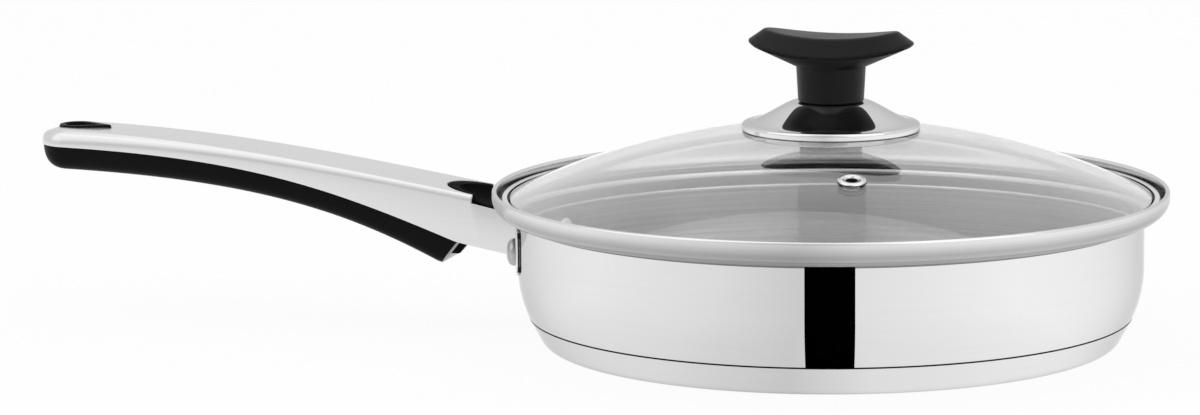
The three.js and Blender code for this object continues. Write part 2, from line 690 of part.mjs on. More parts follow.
// Lid heights and radii, up from the dished seat inside the rim
const bandOuterR = lipInnerR - LID_GAP;
const bandInnerR = bandOuterR - BAND_SHEET;
const flangeR = rimCentreR + FLANGE_RUN;
const flangeZ = seatZ(flangeR) + SEAT_GAP;
const bandTopZ = flangeZ + BAND_HEIGHT;
const coneTopZ = seatZ(bandOuterR) + SEAT_GAP;
const skirtOuterR = PAN_INNER_R - SKIRT_GAP;
const skirtInnerR = skirtOuterR - BAND_SHEET;
const sealLow = flangeZ + BAND_SHEET + STACK_GAP;
const glassR = flangeR - STACK_GAP;
const glassEdgeLow = sealLow + SEAL_FLOOR + STACK_GAP;
const apexZ = glassEdgeLow + GLASS_THICKNESS + DOME_RISE;
const domeR = (glassR * glassR + DOME_RISE * DOME_RISE) / (2 * DOME_RISE);
const domeCentreZ = apexZ - domeR;

function domeZ(radius) {
  return domeCentreZ + Math.sqrt(domeR * domeR - radius * radius);
}

// Steel band: a locating skirt in the pan, a seat flange and a folded edge beside the glass
function lidBand() {
  const beadR = BAND_SHEET / 2;
  const path = new THREE.Path();
  path.moveTo(skirtInnerR, flangeZ - SKIRT_DEPTH);
  path.lineTo(skirtOuterR, flangeZ - SKIRT_DEPTH);
  path.lineTo(skirtOuterR, flangeZ);
  path.lineTo(flangeR, flangeZ);
  path.lineTo(bandOuterR, coneTopZ);
  path.absarc(bandOuterR - BAND_SHEET, bandTopZ - BAND_SHEET, BAND_SHEET, 0, Math.PI / 2, false);
  path.absarc(bandOuterR - BAND_LIP + beadR, bandTopZ - beadR, beadR, Math.PI / 2, 3 * Math.PI / 2, false);
  path.lineTo(bandInnerR, bandTopZ - BAND_SHEET);
  path.lineTo(bandInnerR, coneTopZ + BAND_SHEET);
  path.lineTo(flangeR, flangeZ + BAND_SHEET);
  path.lineTo(skirtInnerR, flangeZ + BAND_SHEET);
  path.closePath();
  addPiece("lid_band", turned(path), STEEL);
}

function lidSeal() {
  const wallOuter = bandInnerR - STACK_GAP;
  const high = bandTopZ - BAND_SHEET - STACK_GAP;
  const outline = [
    [glassR - SEAL_REACH, sealLow],
    [flangeR, sealLow],
    [wallOuter, coneTopZ + BAND_SHEET + STACK_GAP],
    [wallOuter, high],
    [glassR + STACK_GAP, high],
    [glassR + STACK_GAP, sealLow + SEAL_FLOOR],
    [glassR - SEAL_REACH, sealLow + SEAL_FLOOR],
    [glassR - SEAL_REACH, sealLow],
  ];
  addPiece("lid_seal", turned(polygon(outline)), RUBBER);
}

// Places a piece made about Z on the vent's line, square to the dome, with its zero on the glass
const ventTilt = Math.asin(VENT_RADIUS / domeR);
function onVent(geometry) {
  const along = new THREE.Vector3(Math.sin(ventTilt), 0, Math.cos(ventTilt)).multiplyScalar(domeR);
  geometry.rotateY(ventTilt).translate(along.x, along.y, along.z + domeCentreZ);
  return geometry.rotateZ(VENT_ANGLE);
}

function lidGlass() {
  const turnAt = (radius) => Math.acos(radius / domeR);
  const lowerCentreZ = domeCentreZ - GLASS_THICKNESS;
  const path = new THREE.Path();
  path.absarc(0, lowerCentreZ, domeR, turnAt(GLASS_HOLE_R), turnAt(glassR), true);
  path.absarc(0, domeCentreZ, domeR, turnAt(glassR), turnAt(GLASS_HOLE_R), false);
  path.closePath();
  const ventHole = rod(VENT_BARREL_R + SCREW_GAP, -GLASS_THICKNESS - CUT_OVERRUN, CUT_OVERRUN);
  const dome = toSolid(turned(path, ROUND_SEGMENTS, FINE_STEPS));
  const solid = dome.subtract(toSolid(onVent(ventHole)));
  addPiece("lid_glass", toGeometry(solid), GLASS);
}

// Vent: an eyelet through the glass, clinched under a washer
function vent() {
  const under = -GLASS_THICKNESS - SEAT_GAP;
  const washerLow = under - VENT_WASHER_HEIGHT;
  const path = new THREE.Path();
  path.moveTo(VENT_BORE_R, washerLow - VENT_TAIL);
  path.lineTo(VENT_BARREL_R, washerLow - VENT_TAIL);
  path.lineTo(VENT_BARREL_R, SEAT_GAP);
  path.lineTo(VENT_FLANGE_R, SEAT_GAP);
  const crownR = VENT_FLANGE_R - VENT_BORE_R;
  path.absellipse(VENT_BORE_R, SEAT_GAP, crownR, VENT_FLANGE_HEIGHT, 0, Math.PI / 2, false, 0);
  path.closePath();
  addPiece("vent_eyelet", onVent(turned(path, SMALL_SEGMENTS)), STEEL);
  const washer = ring(VENT_BARREL_R + SCREW_GAP, VENT_FLANGE_R, washerLow, under, SMALL_SEGMENTS);
  addPiece("vent_washer", onVent(washer), STEEL);
}

// Bell plate on the dome: an upright edge, a shallow brim and a boss for the knob
const gasketOuterR = PLATE_R - GASKET_INSET;
const gasketLow = domeZ(gasketOuterR - GASKET_WIDTH) + STACK_GAP;
const gasketHigh = gasketLow + GASKET_HEIGHT;
const plateLow = domeZ(PLATE_R) + SEAT_GAP;
const brimZ = plateLow + PLATE_EDGE;
const bossZ = plateLow + PLATE_RISE;
const screwHoleR = KNOB_SCREW_R + SCREW_GAP;

function knobPlate() {
  const path = new THREE.Path();
  const brimR = PLATE_R - PLATE_EDGE_BLEND;
  const brimPull = brimR - PLATE_BRIM_PULL;
  const bossPull = PLATE_BOSS_R + PLATE_BOSS_PULL;
  path.moveTo(PLATE_R - PLATE_SHEET, plateLow);
  path.lineTo(PLATE_R, plateLow);
  path.lineTo(PLATE_R, brimZ - PLATE_EDGE_BLEND);
  path.quadraticCurveTo(PLATE_R, brimZ, brimR, brimZ);
  path.bezierCurveTo(brimPull, brimZ, bossPull, bossZ, PLATE_BOSS_R, bossZ);
  path.lineTo(screwHoleR, bossZ);
  path.lineTo(screwHoleR, bossZ - PLATE_SHEET);
  path.lineTo(PLATE_BOSS_R, bossZ - PLATE_SHEET);
  path.bezierCurveTo(
    bossPull - PLATE_SHEET, bossZ - PLATE_SHEET, brimPull - PLATE_SHEET, brimZ - PLATE_SHEET,
    brimR, brimZ - PLATE_SHEET,
  );
  path.lineTo(PLATE_R - PLATE_SHEET, brimZ - PLATE_EDGE_BLEND);
  path.closePath();
  addPiece("knob_plate", turned(path, ROUND_SEGMENTS, FINE_STEPS), STEEL);
  const gasket = ring(gasketOuterR - GASKET_WIDTH, gasketOuterR - PLATE_SHEET, gasketLow, gasketHigh);
  addPiece("plate_gasket", gasket, RUBBER);
}

// One oval ring of the knob; its height lifts towards the ends, as the saddle top does
function ovalRing(halfLength, halfDepth, z, lift, roundness) {
  const points = [];
  for (let i = 0; i < RING_POINTS; i++) {
    const turn = 2 * Math.PI * i / RING_POINTS;
    const cosine = Math.cos(turn);
    const sine = Math.sin(turn);
    const x = halfLength * Math.sign(cosine) * Math.abs(cosine) ** (2 / roundness);
    const y = halfDepth * Math.sign(sine) * Math.abs(sine) ** (2 / roundness);
    points.push(new THREE.Vector3(x, y, z + lift * (x / halfLength) ** 2));
  }
  return points;
}

const knobLow = bossZ + SEAT_GAP;
const insertLow = knobLow + SEAT_GAP;
const insertHigh = insertLow + INSERT_LENGTH;

function knob() {
  const stemTop = knobLow + KNOB_STEM_HEIGHT;
  const crease = stemTop + KNOB_UNDER_RISE;
  const top = crease + KNOB_SIDE_RISE;
  const round = STEM_ROUNDNESS;
  const oval = KNOB_ROUNDNESS;
  const share = KNOB_TOP_INNER_SHARE;
  const innerLength = KNOB_TOP_HALF_LENGTH - KNOB_TOP_BLEND;
  const innerDepth = KNOB_TOP_HALF_DEPTH - KNOB_TOP_BLEND;
  const underLength = KNOB_HALF_LENGTH - KNOB_EDGE_BLEND;
  const underDepth = KNOB_HALF_DEPTH - KNOB_EDGE_BLEND;
  const footR = KNOB_FOOT_R - KNOB_FOOT_BLEND;
  const lowerTop = top - KNOB_TOP_BLEND;
  const rings = [
    ovalRing(footR, footR, knobLow, 0, round),
    ovalRing(KNOB_FOOT_R, KNOB_FOOT_R, knobLow + KNOB_FOOT_BLEND, 0, round),
    ovalRing(KNOB_STEM_R, KNOB_STEM_R, stemTop, 0, round),
    ovalRing(underLength, underDepth, crease, KNOB_EDGE_LIFT, oval),
    ovalRing(KNOB_HALF_LENGTH, KNOB_HALF_DEPTH, crease + KNOB_EDGE_RISE, KNOB_EDGE_LIFT, oval),
    ovalRing(KNOB_TOP_HALF_LENGTH, KNOB_TOP_HALF_DEPTH, lowerTop, KNOB_TOP_LIFT, oval),
    ovalRing(innerLength, innerDepth, top, KNOB_TOP_LIFT, oval),
    ovalRing(innerLength * share, innerDepth * share, top, KNOB_TOP_LIFT * share ** 2, oval),
  ];
  const pocket = rod(INSERT_R + STACK_GAP, knobLow - CUT_OVERRUN, insertHigh + STACK_GAP);
  const solid = toSolid(loft(rings)).subtract(toSolid(pocket));
  addPiece("knob", toGeometry(solid), BLACK_PLASTIC);
}

// Screw, washer, seal and threaded insert that hold the knob through the glass
function knobFixing() {
  const sealHigh = domeZ(KNOB_SEAL_R) - GLASS_THICKNESS - STACK_GAP;
  const sealLowZ = sealHigh - KNOB_SEAL_HEIGHT;
  const washerHigh = sealLowZ - STACK_GAP;
  const washerLow = washerHigh - KNOB_WASHER_HEIGHT;
  const headHigh = washerLow - STACK_GAP;
  const headLow = headHigh - KNOB_SCREW_HEAD_HEIGHT;
  const tip = insertHigh - SCREW_TIP_GAP;
  addPiece("knob_seal", ring(screwHoleR, KNOB_SEAL_R, sealLowZ, sealHigh, SMALL_SEGMENTS), RUBBER);
  addPiece("knob_washer", ring(screwHoleR, KNOB_WASHER_R, washerLow, washerHigh, SMALL_SEGMENTS), STEEL);
  const outline = [
    [0, headLow],
    [KNOB_SCREW_HEAD_R, headLow],
    [KNOB_SCREW_HEAD_R, headHigh],
    [KNOB_SCREW_R, headHigh],
    [KNOB_SCREW_R, tip],
    [0, tip],
  ];
  addPiece("knob_screw", turned(polygon(outline), SMALL_SEGMENTS), STEEL);
  const insert = ring(KNOB_SCREW_R + STACK_GAP, INSERT_R, insertLow, insertHigh, SMALL_SEGMENTS);
  addPiece("knob_insert", insert, BRASS);
}

const floorR = panShell();
addPiece("base_core", rod(floorR, coreLow, coreHigh, ROUND_SEGMENTS), ALUMINIUM);
baseCap();
handleShell();
rivet("rivet_near", -1);
rivet("rivet_far", 1);
heatGuard();
handleGrip();
gripFixing();
hangingEye();
lidBand();
lidSeal();
lidGlass();
vent();
knobPlate();
knob();
knobFixing();

export default pan;
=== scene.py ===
import math

import bmesh
import bpy
from mathutils import Matrix, Vector


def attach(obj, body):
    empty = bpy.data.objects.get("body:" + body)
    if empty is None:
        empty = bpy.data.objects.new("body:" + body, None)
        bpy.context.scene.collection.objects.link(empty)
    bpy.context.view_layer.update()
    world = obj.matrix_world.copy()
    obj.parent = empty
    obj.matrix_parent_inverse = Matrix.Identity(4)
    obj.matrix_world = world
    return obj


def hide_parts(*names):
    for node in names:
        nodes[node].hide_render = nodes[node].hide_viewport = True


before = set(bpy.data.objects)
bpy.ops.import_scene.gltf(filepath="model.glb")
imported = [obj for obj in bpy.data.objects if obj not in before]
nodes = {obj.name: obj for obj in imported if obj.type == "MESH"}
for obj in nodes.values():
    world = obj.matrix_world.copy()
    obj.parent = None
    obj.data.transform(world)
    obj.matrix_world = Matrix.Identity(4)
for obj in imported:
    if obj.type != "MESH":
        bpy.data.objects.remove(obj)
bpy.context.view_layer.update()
MM = 0.001

# Frying pan with a glass lid: finer pieces in place of the solids, their finishes and a white studio

# Sizes in millimetres, as in the solids
PAN_INNER_R, PAN_HEIGHT, PAN_SHEET = 120.0, 60.0, 0.8
WALL_START, FLOOR_BLEND, INSIDE_BLEND = 30.0, 8.0, 30.0
RIM_RISE, RIM_FLARE, RIM_FILLET = 10.0, 9.7, 1.0
LIP_HEIGHT, LIP_THICKNESS, LIP_BLEND = 2.8, 2.0, 0.5
CAP_HEIGHT, CAP_SHEET, SEAM_INSET = 11.4, 0.8, 4.0
BASE_SLOPE, BASE_EDGE_R = math.radians(28), 6.0
FLOOR_UNDER, SEAT_GAP, STACK_GAP = 5.6, 0.3, 0.1
WALL_R = PAN_INNER_R + PAN_SHEET
STEP_Z = PAN_HEIGHT - RIM_RISE
LIP_START_Z = PAN_HEIGHT - LIP_HEIGHT
RIM_CENTRE_R = WALL_R + RIM_FILLET
LIP_R = WALL_R + RIM_FLARE
LIP_INNER_R = LIP_R - LIP_THICKNESS
SEAM_Z = CAP_HEIGHT + SEAT_GAP
SEAM_R = WALL_R - SEAM_INSET
CAP_INNER_TOP_R = SEAM_R - CAP_SHEET / math.cos(BASE_SLOPE)
DISH_RUN = RIM_FLARE - RIM_FILLET - PAN_SHEET
DISH_DEPTH = RIM_RISE - LIP_HEIGHT - PAN_SHEET


# Lines and profiles

def between(a, b, share):
    return a + (b - a) * share


def arc(cr, cz, rr, rz, start, end, count):
    """Points of an elliptic arc about a centre, from start to end in degrees."""
    turns = [math.radians(start + (end - start) * i / count) for i in range(count + 1)]
    return [(cr + rr * math.cos(turn), cz + rz * math.sin(turn)) for turn in turns]


def bezier(points, count):
    """Points of a curve from the first to the last of its control points."""
    made = []
    for i in range(count + 1):
        t = i / count
        level = [Vector(p) for p in points]
        while len(level) > 1:
            level = [a.lerp(b, t) for a, b in zip(level, level[1:])]
        made.append(tuple(level[0]))
    return made


def corner_radius(inset, drop):
    """Radius of an arc that starts upright and comes in by the inset over the drop."""
    return (inset * inset + drop * drop) / (2 * inset)


def seat_z(radius):
    """Height of the dish inside the rim, where the lid sits."""
    share = (radius - RIM_CENTRE_R) / DISH_RUN
    return LIP_START_Z - DISH_DEPTH * math.sqrt(1 - share * share)


# Meshes
SEGMENTS, LARGE_SEGMENTS, ON_AXIS = 192, 256, 1e-6
BEVEL_STEPS, BEVEL_ANGLE = 3, math.radians(40)


def new_object(name, data):
    obj = bpy.data.objects.new(name, data)
    bpy.context.scene.collection.objects.link(obj)
    return obj


def add(name, mesh, body, stands_for, materials, sharp=35):
    """Puts a finished mesh in the scene, riding on its body, in place of the nodes it stands for."""
    obj = new_object(name, mesh)
    for material in materials:
        mesh.materials.append(material)
    mesh.polygons.foreach_set("use_smooth", [True] * len(mesh.polygons))
    mesh.set_sharp_from_angle(angle=math.radians(sharp))
    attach(obj, body)
    if stands_for:
        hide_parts(*stands_for)
    return obj


def mesh_from(name, verts, faces, indices=None):
    """Mesh from points in millimetres, with each face's place in the list of finishes."""
    mesh = bpy.data.meshes.new(name)
    mesh.from_pydata([(x * MM, y * MM, z * MM) for x, y, z in verts], [], faces)
    if indices:
        mesh.polygons.foreach_set("material_index", indices)
    mesh.update()
    return mesh


def lathe(name, profile, segments=SEGMENTS, tags=None):
    """Closed body turned about Z from a profile of radius and height; points on the axis become poles."""
    verts, rows = [], []
    turns = [2 * math.pi * i / segments for i in range(segments)]
    for r, z in profile:
        if r < ON_AXIS:
            rows.append([len(verts)] * segments)
            verts.append((0.0, 0.0, z))
        else:
            rows.append(list(range(len(verts), len(verts) + segments)))
            verts += [(r * math.cos(turn), r * math.sin(turn), z) for turn in turns]
    faces, indices = [], []
    closed = profile[0][0] > ON_AXIS
    pairs = list(range(len(rows) - 1)) + ([len(rows) - 1] if closed else [])
    for k in pairs:
        low, high = rows[k], rows[(k + 1) % len(rows)]
        for i in range(segments):
            j = (i + 1) % segments
            face = []
            for v in (low[i], low[j], high[j], high[i]):
                if v not in face:
                    face.append(v)
            if len(face) > 2:
                faces.append(face)
                indices.append(tags[k] if tags else 0)
    return mesh_from(name, verts, faces, indices)


def loft(rings):
    """Vertices and faces of a closed skin over rings with equal numbers of points."""
    count = len(rings[0])
    verts = [p for ring in rings for p in ring]
    faces = []
    for k in range(len(rings) - 1):
        for i in range(count):
            j = (i + 1) % count
            a, b = k * count, (k + 1) * count
            faces.append((a + i, a + j, b + j, b + i))
    faces.append(tuple(reversed(range(count))))
    faces.append(tuple(range((len(rings) - 1) * count, len(rings) * count)))
    return verts, faces


def scratch(mesh):
    return new_object("scratch", mesh)


def solid(verts, faces):
    """Scratch object of a closed skin, for cutting and joining."""
    mesh = mesh_from("scratch", verts, faces)
    work = bmesh.new()
    work.from_mesh(mesh)
    bmesh.ops.recalc_face_normals(work, faces=work.faces)
    work.to_mesh(mesh)
    work.free()
    return scratch(mesh)


def prism(outline, low, high, across=False):
    """Solid of a flat outline: upright from low to high, or pushed across the handle from a side view."""
    count = len(outline)
    if across:
        verts = [(-s, y, z) for y in (low, high) for s, z in outline]
    else:
        verts = [(x, y, z) for z in (low, high) for x, y in outline]
    faces = [(i, (i + 1) % count, count + (i + 1) % count, count + i) for i in range(count)]
    faces += [tuple(range(count)), tuple(range(count, 2 * count))]
    return solid(verts, faces)


def combine(base, others, bevel=None):
    """Mesh of base after each (operation, object) pair, with its scratch objects removed."""
    for operation, other in others:
        step = base.modifiers.new("step", "BOOLEAN")
        step.operation = operation
        step.solver = "EXACT"
        step.object = other
    if bevel:
        edge = base.modifiers.new("edge", "BEVEL")
        edge.width = bevel * MM
        edge.segments = BEVEL_STEPS
        edge.limit_method = "ANGLE"
        edge.angle_limit = BEVEL_ANGLE
        edge.use_clamp_overlap = True
    bpy.context.view_layer.update()
    graph = bpy.context.evaluated_depsgraph_get()
    mesh = bpy.data.meshes.new_from_object(base.evaluated_get(graph))
    for obj in [base] + [other for _, other in others]:
        bpy.data.objects.remove(obj)
    mesh.materials.clear()
    return mesh


# Materials: the middle stretch of a noise is spread over a finish's shades and over its gloss
SHADE_NOISE, GLOSS_NOISE = (0.36, 0.64), (0.3, 0.7)
STEEL_CLOUD, PLASTIC_CLOUD, GLASS_CLOUD = 14.0, 35.0, 25.0
STEEL_RELIEF, PLASTIC_RELIEF, QUARTER_TURN = 0.0002, 0.0001, 0.25


def material(name):
    made = bpy.data.materials.new(name)
    made.use_nodes = True
    tree = made.node_tree
    return made, tree, tree.nodes["Principled BSDF"]


def node(tree, kind, settings=None, **inputs):
    """New node; each input is a plain value or another node's output."""
    made = tree.nodes.new(kind)
    for key, value in (settings or {}).items():
        setattr(made, key, value)
    for key, value in inputs.items():
        socket = made.inputs[key]
        if isinstance(value, bpy.types.NodeSocket):
            tree.links.new(value, socket)
        else:
            socket.default_value = value
    return made


def math_node(tree, operation, a, b=None):
    made = tree.nodes.new("ShaderNodeMath")
    made.operation = operation
    for i, value in enumerate((a, b)):
        if isinstance(value, bpy.types.NodeSocket):
            tree.links.new(value, made.inputs[i])
        elif value is not None:
            made.inputs[i].default_value = value
    return made.outputs[0]


def ramp(tree, value, low, high, out_low, out_high):
    """Value carried from one range to another and held at its ends."""
    made = node(tree, "ShaderNodeMapRange", Value=value)
    for key, number in (("From Min", low), ("From Max", high), ("To Min", out_low), ("To Max", out_high)):
        made.inputs[key].default_value = number
    return made.outputs["Result"]


def tint(tree, value, low, high):
    """Colour between two colours, by a value from 0 to 1."""
    made = tree.nodes.new("ShaderNodeValToRGB")
    made.color_ramp.elements[0].color = (*low, 1)
    made.color_ramp.elements[1].color = (*high, 1)
    tree.links.new(value, made.inputs["Fac"])
    return made.outputs["Color"]


def place_on(tree):
    """Place on a piece, in the piece's own coordinates."""
    return tree.nodes.new("ShaderNodeTexCoord").outputs["Object"]


def noise(tree, place, scale, detail):
    return node(tree, "ShaderNodeTexNoise", Vector=place, Scale=scale, Detail=detail).outputs["Fac"]


def emboss(tree, shader, height, strength, distance):
    """Gives a surface fine relief."""
    relief = node(tree, "ShaderNodeBump", Height=height, Strength=strength, Distance=distance)
    tree.links.new(relief.outputs["Normal"], shader.inputs["Normal"])


def around(tree, fine, slow):
    """Coordinates that run round the pan's axis: radius and height fine, angle slow."""
    split = node(tree, "ShaderNodeSeparateXYZ", Vector=place_on(tree))
    x, y, z = (split.outputs[k] for k in "XYZ")
    flat = node(tree, "ShaderNodeCombineXYZ", X=x, Y=y)
    length = node(tree, "ShaderNodeVectorMath", {"operation": "LENGTH"})
    tree.links.new(flat.outputs[0], length.inputs[0])
    joined = node(
        tree, "ShaderNodeCombineXYZ",
        X=math_node(tree, "MULTIPLY", length.outputs["Value"], fine),
        Y=math_node(tree, "MULTIPLY", z, fine),
        Z=math_node(tree, "MULTIPLY", math_node(tree, "ARCTAN2", y, x), slow),
    )
    return joined.outputs[0]


def along(tree, scale):
    """Coordinates with a scale of their own along each axis."""
    return node(tree, "ShaderNodeMapping", Vector=place_on(tree), Scale=scale).outputs[0]


def shade_by(tree, value, stops, unit):
    """Grey that follows a value, from pairs of the value in a given unit and a grey."""
    low, high = stops[0][0], stops[-1][0]
    made = tree.nodes.new("ShaderNodeValToRGB")
    marks = made.color_ramp.elements
    for mark in stops[1:-1]:
        marks.new((mark[0] - low) / (high - low))
    for element, (_, grey) in zip(marks, stops):
        element.color = (grey, grey, grey, 1)
    tree.links.new(ramp(tree, value, low * unit, high * unit, 0, 1), made.inputs["Fac"])
    return made.outputs["Color"]


# Grey by height on a piece, used as painted shade on the flared rim
def painted_shade_by_height(tree, stops):
    height = node(tree, "ShaderNodeSeparateXYZ", Vector=place_on(tree)).outputs["Z"]
    return shade_by(tree, height, stops, MM)


def steel(name, dark, light, rough, coords, detail=6, bump=0.0, anisotropy=0.0, edge=1.0, stops=None):
    """Drawn steel: polish marks follow the given coordinates and vary its gloss, shade and relief; stops,
    where given, are painted shade by height multiplied into its colour.
    """
    made, tree, shader = material(name)
    marks = noise(tree, coords(tree), 1.0, detail)
    cloud = noise(tree, place_on(tree), STEEL_CLOUD, 3.0)
    mixed = math_node(tree, "MULTIPLY", math_node(tree, "ADD", marks, cloud), 0.5)
    shade = tint(tree, ramp(tree, mixed, *SHADE_NOISE, 0, 1), dark, light)
    # Painted shade: greys by height multiplied into the colour
    if stops:
        painted_layer = node(tree, "ShaderNodeMix", {"data_type": "RGBA", "blend_type": "MULTIPLY"})
        painted_layer.inputs["Factor"].default_value = 1.0
        tree.links.new(shade, painted_layer.inputs[6])
        tree.links.new(painted_shade_by_height(tree, stops), painted_layer.inputs[7])
        shade = painted_layer.outputs[2]
    tree.links.new(shade, shader.inputs["Base Color"])
    tree.links.new(ramp(tree, mixed, *GLOSS_NOISE, *rough), shader.inputs["Roughness"])
    shader.inputs["Metallic"].default_value = 1.0
    shader.inputs["Specular Tint"].default_value = (edge, edge, edge, 1)
    if anisotropy:
        turned = node(tree, "ShaderNodeTangent", {"direction_type": "RADIAL", "axis": "Z"})
        tree.links.new(turned.outputs[0], shader.inputs["Tangent"])
        shader.inputs["Anisotropic"].default_value = anisotropy
        shader.inputs["Anisotropic Rotation"].default_value = QUARTER_TURN
    if bump:
        emboss(tree, shader, marks, bump, STEEL_RELIEF)
    return made


def plastic(name, dark, light, rough, grain, bump, gloss):
    """Moulded plastic with a fine spark-eroded grain."""
    made, tree, shader = material(name)
    place = place_on(tree)
    cloud = noise(tree, place, PLASTIC_CLOUD, 3.0)
    tree.links.new(tint(tree, cloud, dark, light), shader.inputs["Base Color"])
    tree.links.new(ramp(tree, cloud, *GLOSS_NOISE, *rough), shader.inputs["Roughness"])
    shader.inputs["Specular IOR Level"].default_value = gloss
    emboss(tree, shader, noise(tree, place, grain, 4.0), bump, PLASTIC_RELIEF)
    return made


def clear_glass(name):
    made, tree, shader = material(name)
    cloud = noise(tree, place_on(tree), GLASS_CLOUD, 4.0)
    pale = tint(tree, cloud, (0.9, 0.905, 0.905), (0.93, 0.93, 0.93))
    tree.links.new(pale, shader.inputs["Base Color"])
    tree.links.new(ramp(tree, cloud, 0.35, 0.8, 0.0, 0.03), shader.inputs["Roughness"])
    for key, value in (("Transmission Weight", 1.0), ("IOR", 1.48),
                       ("Coat Weight", 1.0), ("Coat IOR", 1.6)):
        shader.inputs[key].default_value = value
    return made


# Greys by height in millimetres on the flared rim, multiplied into its colour: painted shade, darkest at
# the rim's foot and lighter towards the lip
RIM_PAINTED_SHADES = ((50.0, 0.26), (51.6, 0.58), (54.2, 0.48), (59.3, 0.9))
BLACK_DARK, BLACK_LIGHT, FINE_GRAIN = (0.003, 0.003, 0.0032), (0.006, 0.006, 0.0063), 2600.0
polished = steel("steel_polished", (0.8, 0.8, 0.805), (0.82, 0.82, 0.825), (0.03, 0.06),
                 lambda t: around(t, 500, 2.0), bump=0.02, edge=0.72)
flared = steel("steel_flared_painted_shade", (0.86, 0.86, 0.865), (0.96, 0.96, 0.965), (0.12, 0.2),
               lambda t: around(t, 1500, 1.2), bump=0.04, edge=0.8, stops=RIM_PAINTED_SHADES)
brushed = steel("steel_brushed", (0.36, 0.36, 0.362), (0.74, 0.74, 0.742), (0.36, 0.46),
                lambda t: around(t, 900, 0.6), bump=0.08, anisotropy=0.92)
# Near-black copy of the band's steel, painted shade on the skirt's inner face
shaded_skirt_steel = steel("steel_skirt_painted_shade", (0.06, 0.06, 0.061), (0.1, 0.1, 0.101), (0.25, 0.35),
                lambda t: around(t, 1500, 1.0), bump=0.04)
# Near-black steel that is painted shade: in the seam gaps, on the ears' cut ends and in the vent's bore,
# edges and washer face
painted_shade_steel = steel("steel_painted_shade", (0.03,) * 3, (0.06,) * 3, (0.5, 0.6), lambda t: around(t, 900, 3.0))
satin = steel("steel_satin", (0.76, 0.76, 0.765), (0.79, 0.79, 0.795), (0.24, 0.34),
              lambda t: along(t, (20, 700, 700)), detail=8, bump=0.05)
bright = steel("steel_bright", (0.7, 0.7, 0.705), (0.78, 0.78, 0.785), (0.06, 0.12),
               lambda t: around(t, 700, 3.0), bump=0.03)
aluminium = steel("aluminium_core", (0.55, 0.56, 0.57), (0.68, 0.69, 0.7), (0.4, 0.55),
                  lambda t: along(t, (60, 60, 60)), bump=0.1)
brass = steel("brass_turned", (0.55, 0.4, 0.16), (0.72, 0.56, 0.26), (0.25, 0.4),
              lambda t: around(t, 1500, 3.0), bump=0.1)
rivet_steel = steel("steel_rivet", (0.3, 0.3, 0.303), (0.55, 0.55, 0.555), (0.14, 0.24),
                    lambda t: along(t, (900, 900, 40)), bump=0.08)
# Lighter copy of the steel that is painted light: the rivets' inner heads and the lid's hem and bend
painted_light_steel = steel("steel_painted_light", (0.9, 0.9, 0.905), (0.96, 0.96, 0.965), (0.16, 0.24),
                   lambda t: along(t, (900, 900, 40)), bump=0.04)
black = plastic("plastic_black", BLACK_DARK, BLACK_LIGHT, (0.34, 0.46), FINE_GRAIN, 0.2, 0.07)
matte_black = plastic("plastic_matte", BLACK_DARK, BLACK_LIGHT, (0.7, 0.8), FINE_GRAIN, 0.2, 0.03)
# Glossier, slightly lighter black for the grip's front face: the lighter colour is painted highlight, the
# gloss is the face's own
highlight_black = plastic("plastic_edge_highlight", (0.01,) * 3, (0.014,) * 3, (0.08, 0.12), FINE_GRAIN, 0.05, 0.5)
knob_black = plastic("plastic_knob", BLACK_DARK, BLACK_LIGHT, (0.36, 0.46), FINE_GRAIN, 0.2, 0.2)
rubber = plastic("rubber_seal", (0.012, 0.012, 0.013), (0.022, 0.022, 0.023), (0.5, 0.65),
                 1500.0, 0.2, 0.3)
glass = clear_glass("glass_clear")


# Pan body: polished wall, flared rim with painted shade by height, and brushed inside

def profile_of(*sections):
    """Profile and the finish of each of its stretches, from pairs of finish and points."""
    points, tags = [], []
    for tag, stretch in sections:
        points += stretch
        tags += [tag] * len(stretch)
    return points, tags


WALL_FINISH, INSIDE_FINISH, FLARE_FINISH, PAINTED_SHADE_FINISH = range(4)
EDGE_HOLD = 0.3


def wall_curve(count):
    """Outer line of the wall, from the seam up to where the wall stands straight."""
    drop = WALL_START - SEAM_Z
    radius = corner_radius(SEAM_INSET, drop)
    turn = math.degrees(math.asin(drop / radius))
    return arc(WALL_R - radius, WALL_START, radius, radius, -turn, 0, count)


